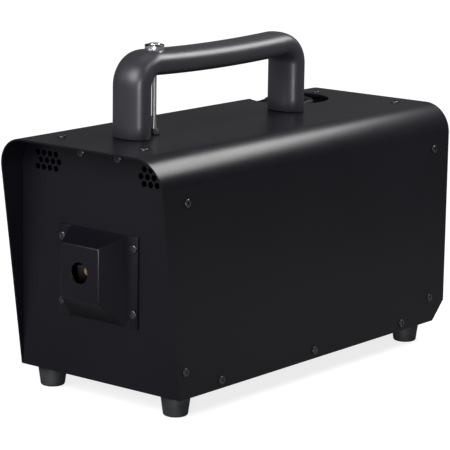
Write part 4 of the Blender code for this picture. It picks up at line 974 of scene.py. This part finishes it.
@dataclass
class ThumbTrigger:
    """Chrome push button in the bar, with its conduit and grommet."""

    shop: Workshop
    flange_height: float = 4.2 * MM
    rim: float = 0.7 * MM
    running_gap: float = 0.3 * MM
    sunk: float = 2.0 * MM
    shank_step: float = 1.2 * MM
    rim_lip: float = 0.1 * MM
    dish: float = 0.45 * MM
    conduit_bore: float = 2.05 * MM

    def build(self) -> None:
        """Housing, rim coloured as a painted dark reflection, button, conduit and grommet."""
        low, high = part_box("trigger_housing")
        button_low, button_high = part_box("trigger_button")
        centre = (low + high) / 2
        radius = (high.x - low.x) / 2
        button_radius = (button_high.x - button_low.x) / 2
        flange = self.flange_height
        seat = high.z - flange
        place = Matrix.Translation((centre.x, centre.y, seat))
        pocket = button_radius + self.running_gap
        shoulder = flange - 1.5 * self.rim
        shank = radius - self.shank_step
        body_radius = radius - self.rim_lip
        wall = [(pocket, -self.sunk), (shank, -self.sunk), (shank, 0.0),
                (body_radius - 0.2 * MM, 0.0), (body_radius, 0.2 * MM),
                (body_radius, shoulder), (pocket, shoulder)]
        self.shop.piece("trigger_collar", turned(wall, place, 96), "chrome",
                        replaces=("trigger_housing",))
        # Rim ring of the chrome collar, given a dark colour as a painted dark reflection
        band = [(pocket, shoulder), (radius, shoulder)]
        band += rounded(radius, flange, self.rim) + [(pocket, flange)]
        self.shop.piece("trigger_rim", turned(band, place, 96), "rim_painted_dark_reflection")
        reach = button_high.z - seat
        profile = [(0.0, -1.5 * MM), (button_radius, -1.5 * MM)]
        profile += rounded(button_radius, reach, 0.6 * MM)
        profile += [(button_radius * 0.72, reach), (button_radius * 0.45, reach - self.dish * 0.7),
                    (0.0, reach - self.dish)]
        shape = turned(profile, place, 72)
        self.shop.piece("trigger_cap", shape, "chrome", "trigger", ("trigger_button",))
        self.build_conduit()

    def build_conduit(self) -> None:
        """Thin tube from the cover to the bar and its rubber grommet."""
        low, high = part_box("trigger_conduit")
        centre = (low + high) / 2
        tube = rod((centre.x, centre.y, low.z), (centre.x, centre.y, high.z), (high.x - low.x) / 2)
        self.shop.piece("conduit_tube", tube, "bare_steel", replaces=("trigger_conduit",))
        low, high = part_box("conduit_grommet")
        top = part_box("cover")[1].z
        rim = (high.x - low.x) / 2
        bore = self.conduit_bore
        tall = high.z - top
        profile = [(bore, 0.05 * MM), (rim - 0.3 * MM, 0.05 * MM), (rim, 0.4 * MM),
                   (rim, 1.6 * MM), (rim * 0.86, 2.0 * MM), (rim * 0.80, tall - 0.8 * MM),
                   (rim * 0.66, tall), (bore, tall)]
        shape = turned(profile, Matrix.Translation((centre.x, centre.y, top)), 48)
        self.shop.piece("grommet", shape, "rubber", replaces=("conduit_grommet",))


# ---------------------------------------------------------------- feet

@dataclass
class Feet:
    """Tapered rubber feet, each with a washer and screw up its sole."""

    shop: Workshop
    count: int = 4
    sole_radius: float = 10.5 * MM
    sole_edge: float = 2.0 * MM
    well: float = 5.0 * MM

    def build(self) -> None:
        """Turn each foot and its screw."""
        for number in range(1, self.count + 1):
            low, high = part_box(f"foot_{number}")
            centre = (low + high) / 2
            place = Matrix.Translation((centre.x, centre.y, low.z))
            top_radius = (high.x - low.x) / 2
            tall = high.z - low.z
            edge = self.sole_edge
            lip = [(self.sole_radius - edge * (1 - math.sin(a)), edge * (1 - math.cos(a)))
                   for a in (i * math.pi / 12 for i in range(7))]
            well = self.well
            profile = [(0.0, well), (well - 0.3 * MM, well), (well, well - 0.3 * MM),
                       (well, 0.4 * MM), (well + 0.4 * MM, 0.0)] + lip
            profile += rounded(top_radius, tall, 0.4 * MM, 3) + [(0.0, tall)]
            self.shop.piece(f"rubber_foot_{number}", turned(profile, place, 72), "rubber",
                            replaces=(f"foot_{number}",))
            washer = [(0.0, 2.2 * MM), (1.4 * MM, 2.4 * MM), (2.8 * MM, 3.2 * MM),
                      (3.2 * MM, 3.9 * MM), (4.6 * MM, 3.9 * MM), (4.6 * MM, 4.9 * MM),
                      (0.0, 4.9 * MM)]
            self.shop.piece(f"foot_fixing_{number}", turned(washer, place, 40), "bare_steel")


# ---------------------------------------------------------------- nozzle

@dataclass
class NozzleJet:
    """Turned brass nozzle with a hexagon collar."""

    shop: Workshop
    thread_length: float = 14.0 * MM
    collar_depth: float = 8.0 * MM
    collar_middle: float = 4.2 * MM
    collar_edge: float = 0.4 * MM

    def build(self) -> None:
        """Tip, cone and collar."""
        low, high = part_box("nozzle")
        centre = (low + high) / 2
        radius = (high.x - low.x) / 2
        reach = high.y - low.y - self.thread_length
        place = facing(Vector((centre.x, low.y + reach, centre.z)), Vector(Facing.FRONT.value))
        profile = [(0.0, -4 * MM), (4.6 * MM, -4 * MM), (4.6 * MM, 9 * MM),
                   (radius * 0.75, 9 * MM), (radius * 0.75, reach - 11 * MM),
                   (radius * 0.68, reach - 9.5 * MM), (4.4 * MM, reach - 3 * MM),
                   (3.5 * MM, reach - 0.6 * MM), (3.0 * MM, reach), (1.5 * MM, reach),
                   (1.0 * MM, reach - 0.8 * MM), (0.9 * MM, reach - 6 * MM), (0.0, reach - 6 * MM)]
        self.shop.piece("brass_jet", turned(profile, place, 64), "brass", replaces=("nozzle",))
        collar = bmesh.new()
        seat = place @ Matrix.Translation((0, 0, self.collar_middle))
        bmesh.ops.create_cone(collar, cap_ends=True, segments=6, radius1=radius, radius2=radius,
                              depth=self.collar_depth, matrix=seat)
        soften(collar, list(collar.edges), self.collar_edge)
        self.shop.piece("brass_collar", collar, "brass")


# ---------------------------------------------------------------- filler

@dataclass
class Filler:
    """Ribbed tank cap over the neck."""

    shop: Workshop
    ribs: int = 36
    rib_depth: float = 0.7 * MM
    wall: float = 2.0 * MM
    lid_rise: float = 2.0 * MM
    lid_steps: tuple = ((1.0 * MM, 1.4 * MM), (1.2 * MM, 0.6 * MM), (2.0 * MM, -0.9 * MM))
    grip_share: float = 0.62
    grip_half: float = 2.4 * MM
    grip_height: float = 1.6 * MM
    grip_edge: float = 0.8 * MM

    def build(self) -> None:
        """Ribbed skirt with a raised grip bar across the top."""
        low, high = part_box("tank_cap")
        centre = (low + high) / 2
        radius = (high.x - low.x) / 2
        tall = high.z - low.z
        place = Matrix.Translation((centre.x, centre.y, low.z))
        skirt = tall - self.lid_rise
        shape = fluted(radius, self.rib_depth, self.ribs, (1, 2), skirt)[0]
        lid = top_face(shape)
        for depth, height in self.lid_steps:
            bmesh.ops.inset_region(shape, faces=[lid], thickness=depth, depth=height)
        bmesh.ops.transform(shape, matrix=place, verts=shape.verts)
        inner = rod((centre.x, centre.y, low.z - 1 * MM),
                    (centre.x, centre.y, high.z - self.wall - 1 * MM), radius - self.wall, 72)
        shape = self.shop.carve(shape, [inner])
        self.shop.piece("ribbed_cap", shape, "cap_black", "cap", ("tank_cap",), 40)
        reach = radius * self.grip_share
        grip = block((centre.x - reach, centre.y - self.grip_half, high.z - self.grip_height),
                     (centre.x + reach, centre.y + self.grip_half, high.z), self.grip_edge, 3)
        self.shop.piece("cap_grip", grip, "cap_black", "cap")


# ---------------------------------------------------------------- rear controls

@dataclass
class RearControls:
    """Output dial with its printed scale, and the power rocker's marks."""

    shop: Workshop
    flutes: int = 18
    flute_depth: float = 0.7 * MM
    skirt_ledge: float = 2.0 * MM
    skirt_height: float = 3.0 * MM
    skirt_bore: float = 3.4 * MM
    grip_taper: float = 0.93
    tick_width: float = 0.5 * MM
    ink_depth: float = 0.08 * MM
    number_height: float = 4.2 * MM
    mark_share: float = 0.27
    dial_steps: int = 10
    sweep: float = 300.0

    def build(self) -> None:
        """Build each control."""
        self.build_knob()
        self.build_scale()
        self.build_rocker()

    def build_knob(self) -> None:
        """Fluted knob with a white pointer."""
        low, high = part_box("output_knob")
        centre = (low + high) / 2
        radius = (high.x - low.x) / 2
        tall = high.y - low.y
        place = facing(Vector((centre.x, low.y, centre.z)), Vector(Facing.REAR.value))
        skirt = turned([(self.skirt_bore, 0.0), (radius, 0.0)]
                       + rounded(radius, self.skirt_height, 0.8 * MM)
                       + [(self.skirt_bore, self.skirt_height)], place, 72)
        self.shop.piece("knob_skirt", skirt, "black_plastic", "dial", ("output_knob",))
        grip = radius - self.skirt_ledge
        shape, verts = fluted(grip, self.flute_depth, self.flutes, (0,), tall - 3.6 * MM)
        bmesh.ops.scale(shape, vec=(self.grip_taper, self.grip_taper, 1.0), verts=verts)
        bmesh.ops.inset_region(shape, faces=[top_face(shape)], thickness=0.7 * MM,
                               depth=0.5 * MM)
        bmesh.ops.transform(shape, matrix=place @ Matrix.Translation((0, 0, 3.05 * MM)),
                            verts=shape.verts)
        self.shop.piece("knob_grip", shape, "black_plastic", "dial", sharp=45)
        start = self._spoke(centre, 0.0, grip * 0.35, high.y - 0.05 * MM)
        end = self._spoke(centre, 0.0, grip * 0.86, high.y - 0.05 * MM)
        self.shop.piece("knob_pointer", self._dash(start, end, 1.1 * MM, 0.12 * MM), "white_ink",
                        "dial")

    def _spoke(self, centre: Vector, share: float, radius: float, y: float) -> Vector:
        """Point of the dial at a share of its sweep and a radius."""
        angle = math.radians(270.0 - (360.0 - self.sweep) / 2 - share * self.sweep)
        return Vector((centre.x - radius * math.cos(angle), y, centre.z + radius * math.sin(angle)))

    @staticmethod
    def _dash(start: Vector, end: Vector, width: float, thick: float) -> bmesh.types.BMesh:
        """Thin printed line between two points of the rear panel."""
        middle = (start + end) / 2
        length = (end - start).length
        angle = math.atan2(end.z - start.z, end.x - start.x)
        shape = block((-length / 2, -thick / 2, -width / 2), (length / 2, thick / 2, width / 2))
        turn = Matrix.Translation(middle) @ Matrix.Rotation(-angle, 4, "Y")
        bmesh.ops.transform(shape, matrix=turn, verts=shape.verts)
        return shape

    def build_scale(self) -> None:
        """Ticks and plain numbers round the dial."""
        low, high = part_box("output_knob")
        centre = (low + high) / 2
        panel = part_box("rear_panel")[1].y + 0.04 * MM
        radius = (high.x - low.x) / 2
        for step in range(self.dial_steps + 1):
            share = step / self.dial_steps
            start = self._spoke(centre, share, radius + 1.6 * MM, panel)
            end = self._spoke(centre, share, radius + 3.8 * MM, panel)
            self.shop.piece(f"dial_tick_{step}", self._dash(start, end, self.tick_width, self.ink_depth),
                            "white_ink")
            if step % 2 == 0:
                self.number(str(step), self._spoke(centre, share, radius + 7.0 * MM, panel))

    def number(self, text: str, at: Vector) -> None:
        """Plain printed number centred on a point of the rear panel."""
        curve = bpy.data.curves.new("number", "FONT")
        curve.body = text
        curve.size = self.number_height
        curve.extrude = self.ink_depth / 2
        curve.align_x = "CENTER"
        curve.align_y = "CENTER"
        source = stand("number", curve)
        graph = bpy.context.evaluated_depsgraph_get()
        mesh = bpy.data.meshes.new_from_object(source.evaluated_get(graph))
        bpy.data.objects.remove(source, do_unlink=True)
        look = Matrix.Rotation(math.pi, 4, "Z") @ Matrix.Rotation(math.pi / 2, 4, "X")
        mesh.transform(Matrix.Translation(at) @ look)
        self.shop.adopt(f"dial_number_{text}", mesh, "white_ink")

    def build_rocker(self) -> None:
        """On and off marks on the rocker's two halves."""
        low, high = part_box("switch_rocker")
        centre = (low + high) / 2
        for name, lift in (("bar", self.mark_share), ("ring", -self.mark_share)):
            z = centre.z + lift * (high.z - low.z)
            y = self._rocker_face(z)
            place = facing(Vector((centre.x, y, z)), Vector(Facing.REAR.value))
            if name == "bar":
                shape = block((-0.35 * MM, -1.6 * MM, -0.1 * MM), (0.35 * MM, 1.6 * MM, 0.1 * MM))
                bmesh.ops.transform(shape, matrix=place, verts=shape.verts)
            else:
                shape = turned([(1.1 * MM, -0.1 * MM), (1.6 * MM, -0.1 * MM), (1.6 * MM, 0.1 * MM),
                                (1.1 * MM, 0.1 * MM)], place, 32)
            self.shop.piece(f"rocker_{name}", shape, "white_ink", "rocker")

    @staticmethod
    def _rocker_face(z: float) -> float:
        """Y of the rocker's outer surface at a height."""
        mesh = frame["nodes"]["switch_rocker"].data
        best = -1.0
        for face in mesh.polygons:
            points = [mesh.vertices[i].co for i in face.vertices]
            if min(p.z for p in points) <= z <= max(p.z for p in points):
                normal = face.normal
                if normal.y > 0.3:
                    y = points[0].y - (z - points[0].z) * normal.z / normal.y
                    best = max(best, y)
        return best


# ---------------------------------------------------------------- kept CAD nodes

@dataclass
class KeptParts:
    """CAD nodes whose shape is right: they keep their mesh and get a finish."""

    shop: Workshop

    def dress(self) -> None:
        """Give every CAD node the finish that its record slot names."""
        slots = {entry["node"]: entry["material_slot"] for entry in frame["record"]["subparts"]}
        for name, node in frame["nodes"].items():
            finish = self.shop.palette[slots[name]]
            for place in node.material_slots:
                place.material = finish
            if not node.material_slots:
                node.data.materials.append(finish)
            LOG.info("node %s wears %s", name, finish.name)


# ---------------------------------------------------------------- studio

@dataclass
class Studio:
    """Pale floor, soft lamps, white backdrop and the camera."""

    azimuth: float = 38.984
    elevation: float = 11.804
    roll: float = 0.8602
    distance: float = 2.02326
    offset: tuple[float, float] = (-0.007412, 0.005848)
    lens: float = 184.2
    sensor: float = 36.0
    aim_height: float = 0.1186
    floor_glow: tuple[float, float, float] = (0.80, 0.80, 0.80)
    sky_level: float = 0.07
    mirror_share: float = 0.08

    def build(self) -> None:
        """Build floor, world, lamps and camera."""
        self.build_camera()
        self.build_floor()
        self.build_world()
        self.build_lamps()

    def build_camera(self) -> None:
        """Camera that looks at the cover's middle from its front right."""
        azimuth, elevation = math.radians(self.azimuth), math.radians(self.elevation)
        back = Vector((math.sin(azimuth) * math.cos(elevation),
                       -math.cos(azimuth) * math.cos(elevation), math.sin(elevation)))
        right = Vector((math.cos(azimuth), math.sin(azimuth), 0.0))
        up = back.cross(right)
        roll = math.radians(self.roll)
        side = right * math.cos(roll) + up * math.sin(roll)
        rise = up * math.cos(roll) - right * math.sin(roll)
        place = (Vector((0, 0, self.aim_height)) + back * self.distance
                 + side * self.offset[0] + rise * self.offset[1])
        data = bpy.data.cameras.new("camera")
        data.lens = self.lens
        data.sensor_width = self.sensor
        data.clip_end = 50.0
        camera = stand("camera", data)
        camera.matrix_world = Matrix.Translation(place) @ Matrix((side, rise, back)).transposed(
        ).to_4x4()
        bpy.context.scene.camera = camera

    def build_floor(self) -> None:
        """Round white floor that keeps the object's soft shadow."""
        shape = bmesh.new()
        bmesh.ops.create_circle(shape, cap_ends=True, segments=96, radius=6.0)
        mesh = bpy.data.meshes.new("floor")
        shape.to_mesh(mesh)
        shape.free()
        floor = stand("floor", mesh)
        mesh.materials.append(self.floor_finish())

    def floor_finish(self) -> Material:
        """White to the camera with the shadow kept, and dim to reflections."""
        shader = Shader("studio_floor")
        reach = shader.node("ShaderNodeVectorMath", {"operation": "LENGTH"},
                            {0: shader.place()}, "Value")
        glow = shader.blend(shader.window(reach, 0.35, 1.6), self.floor_glow, (1.0, 1.0, 1.0))
        shader.set(Base_Color=(0.34, 0.34, 0.34), Roughness=0.85, Specular_IOR_Level=0.0,
                   Emission_Color=glow, Emission_Strength=1.0)
        camera, glossy, through = (shader.node("ShaderNodeLightPath", {}, {}, name)
                                   for name in SEEN_RAYS)
        dim = shader.node("ShaderNodeBsdfDiffuse", {}, {"Color": (0.16, 0.16, 0.16)})
        bright = Wire(shader, shader.surface.outputs[0])
        share = camera + through + glossy * self.mirror_share
        mix = shader.node("ShaderNodeMixShader", {}, {0: share, 1: dim, 2: bright})
        out = shader.tree.nodes["Material Output"]
        shader.tree.links.new(mix.socket, out.inputs["Surface"])
        return shader.material

    def build_world(self) -> None:
        """World that shows white to the camera and lights softly."""
        world = bpy.data.worlds.new("studio")
        world.use_nodes = True
        bpy.context.scene.world = world
        tree = world.node_tree
        tree.nodes.clear()
        path = tree.nodes.new("ShaderNodeLightPath")
        total = path.outputs[SEEN_RAYS[0]]
        for name, weight in ((SEEN_RAYS[1], self.mirror_share), (SEEN_RAYS[2], 1.0)):
            both = tree.nodes.new("ShaderNodeMath")
            both.operation = "MULTIPLY_ADD"
            tree.links.new(path.outputs[name], both.inputs[0])
            both.inputs[1].default_value = weight
            tree.links.new(total, both.inputs[2])
            total = both.outputs[0]
        sky = tree.nodes.new("ShaderNodeBackground")
        sky.inputs["Strength"].default_value = self.sky_level
        white = tree.nodes.new("ShaderNodeBackground")
        white.inputs["Color"].default_value = (1.0, 1.0, 1.0, 1.0)
        mix = tree.nodes.new("ShaderNodeMixShader")
        out = tree.nodes.new("ShaderNodeOutputWorld")
        tree.links.new(total, mix.inputs[0])
        tree.links.new(sky.outputs[0], mix.inputs[1])
        tree.links.new(white.outputs[0], mix.inputs[2])
        tree.links.new(mix.outputs[0], out.inputs["Surface"])

    def build_lamps(self) -> None:
        """Softboxes: at the long edge, in front, low and high on the right, and overhead."""
        self.lamp("edge_strip", (0.27, 0.36, 0.66), (0.09, -0.17, 0.2), (0.55, 0.26), 5.0)
        self.lamp("front", (-0.4, -2.2, 1.5), (0.0, -0.1, 0.15), (1.8, 1.2), 62.0)
        self.lamp("crease", (1.55, -2.35, 0.34), (0.0, -0.1, 0.2), (0.42, 0.7), 42.0)
        self.lamp("right_high", (0.95, -0.15, 1.25), (0.0, -0.15, 0.15), (0.4, 0.5), 4.0)
        self.lamp("overhead", (-0.3, 0.1, 2.2), (0.0, 0.0, 0.2), (1.2, 1.2), 4.0)

    @staticmethod
    def lamp(name: str, at: tuple, towards: tuple, size: tuple[float, float],
             power: float) -> None:
        """Rectangular softbox.

        Args:
            name: the lamp's name.
            at: its place.
            towards: the point that it looks at.
            size: width and height.
            power: watts.
        """
        data = bpy.data.lights.new(name, "AREA")
        data.shape = "RECTANGLE"
        data.size, data.size_y = size
        data.energy = power
        lamp = stand(name, data)
        aim = Vector(towards) - Vector(at)
        lamp.matrix_world = Matrix.Translation(at) @ aim.to_track_quat("-Z", "Y").to_matrix(
        ).to_4x4()


def main() -> None:
    """Build everything in order."""
    logging.basicConfig(level=logging.INFO, format="%(message)s")
    bpy.context.scene.view_settings.view_transform = "Standard"
    studio = Studio()
    studio.build()
    palette = Palette()
    palette.build()
    shop = Workshop(palette)
    KeptParts(shop).dress()
    for assembly in (Enclosure(shop), Fasteners(shop), CarryHandle(shop), ThumbTrigger(shop),
                     Feet(shop), NozzleJet(shop), Filler(shop), RearControls(shop)):
        assembly.build()


if __name__ == "__main__":
    main()
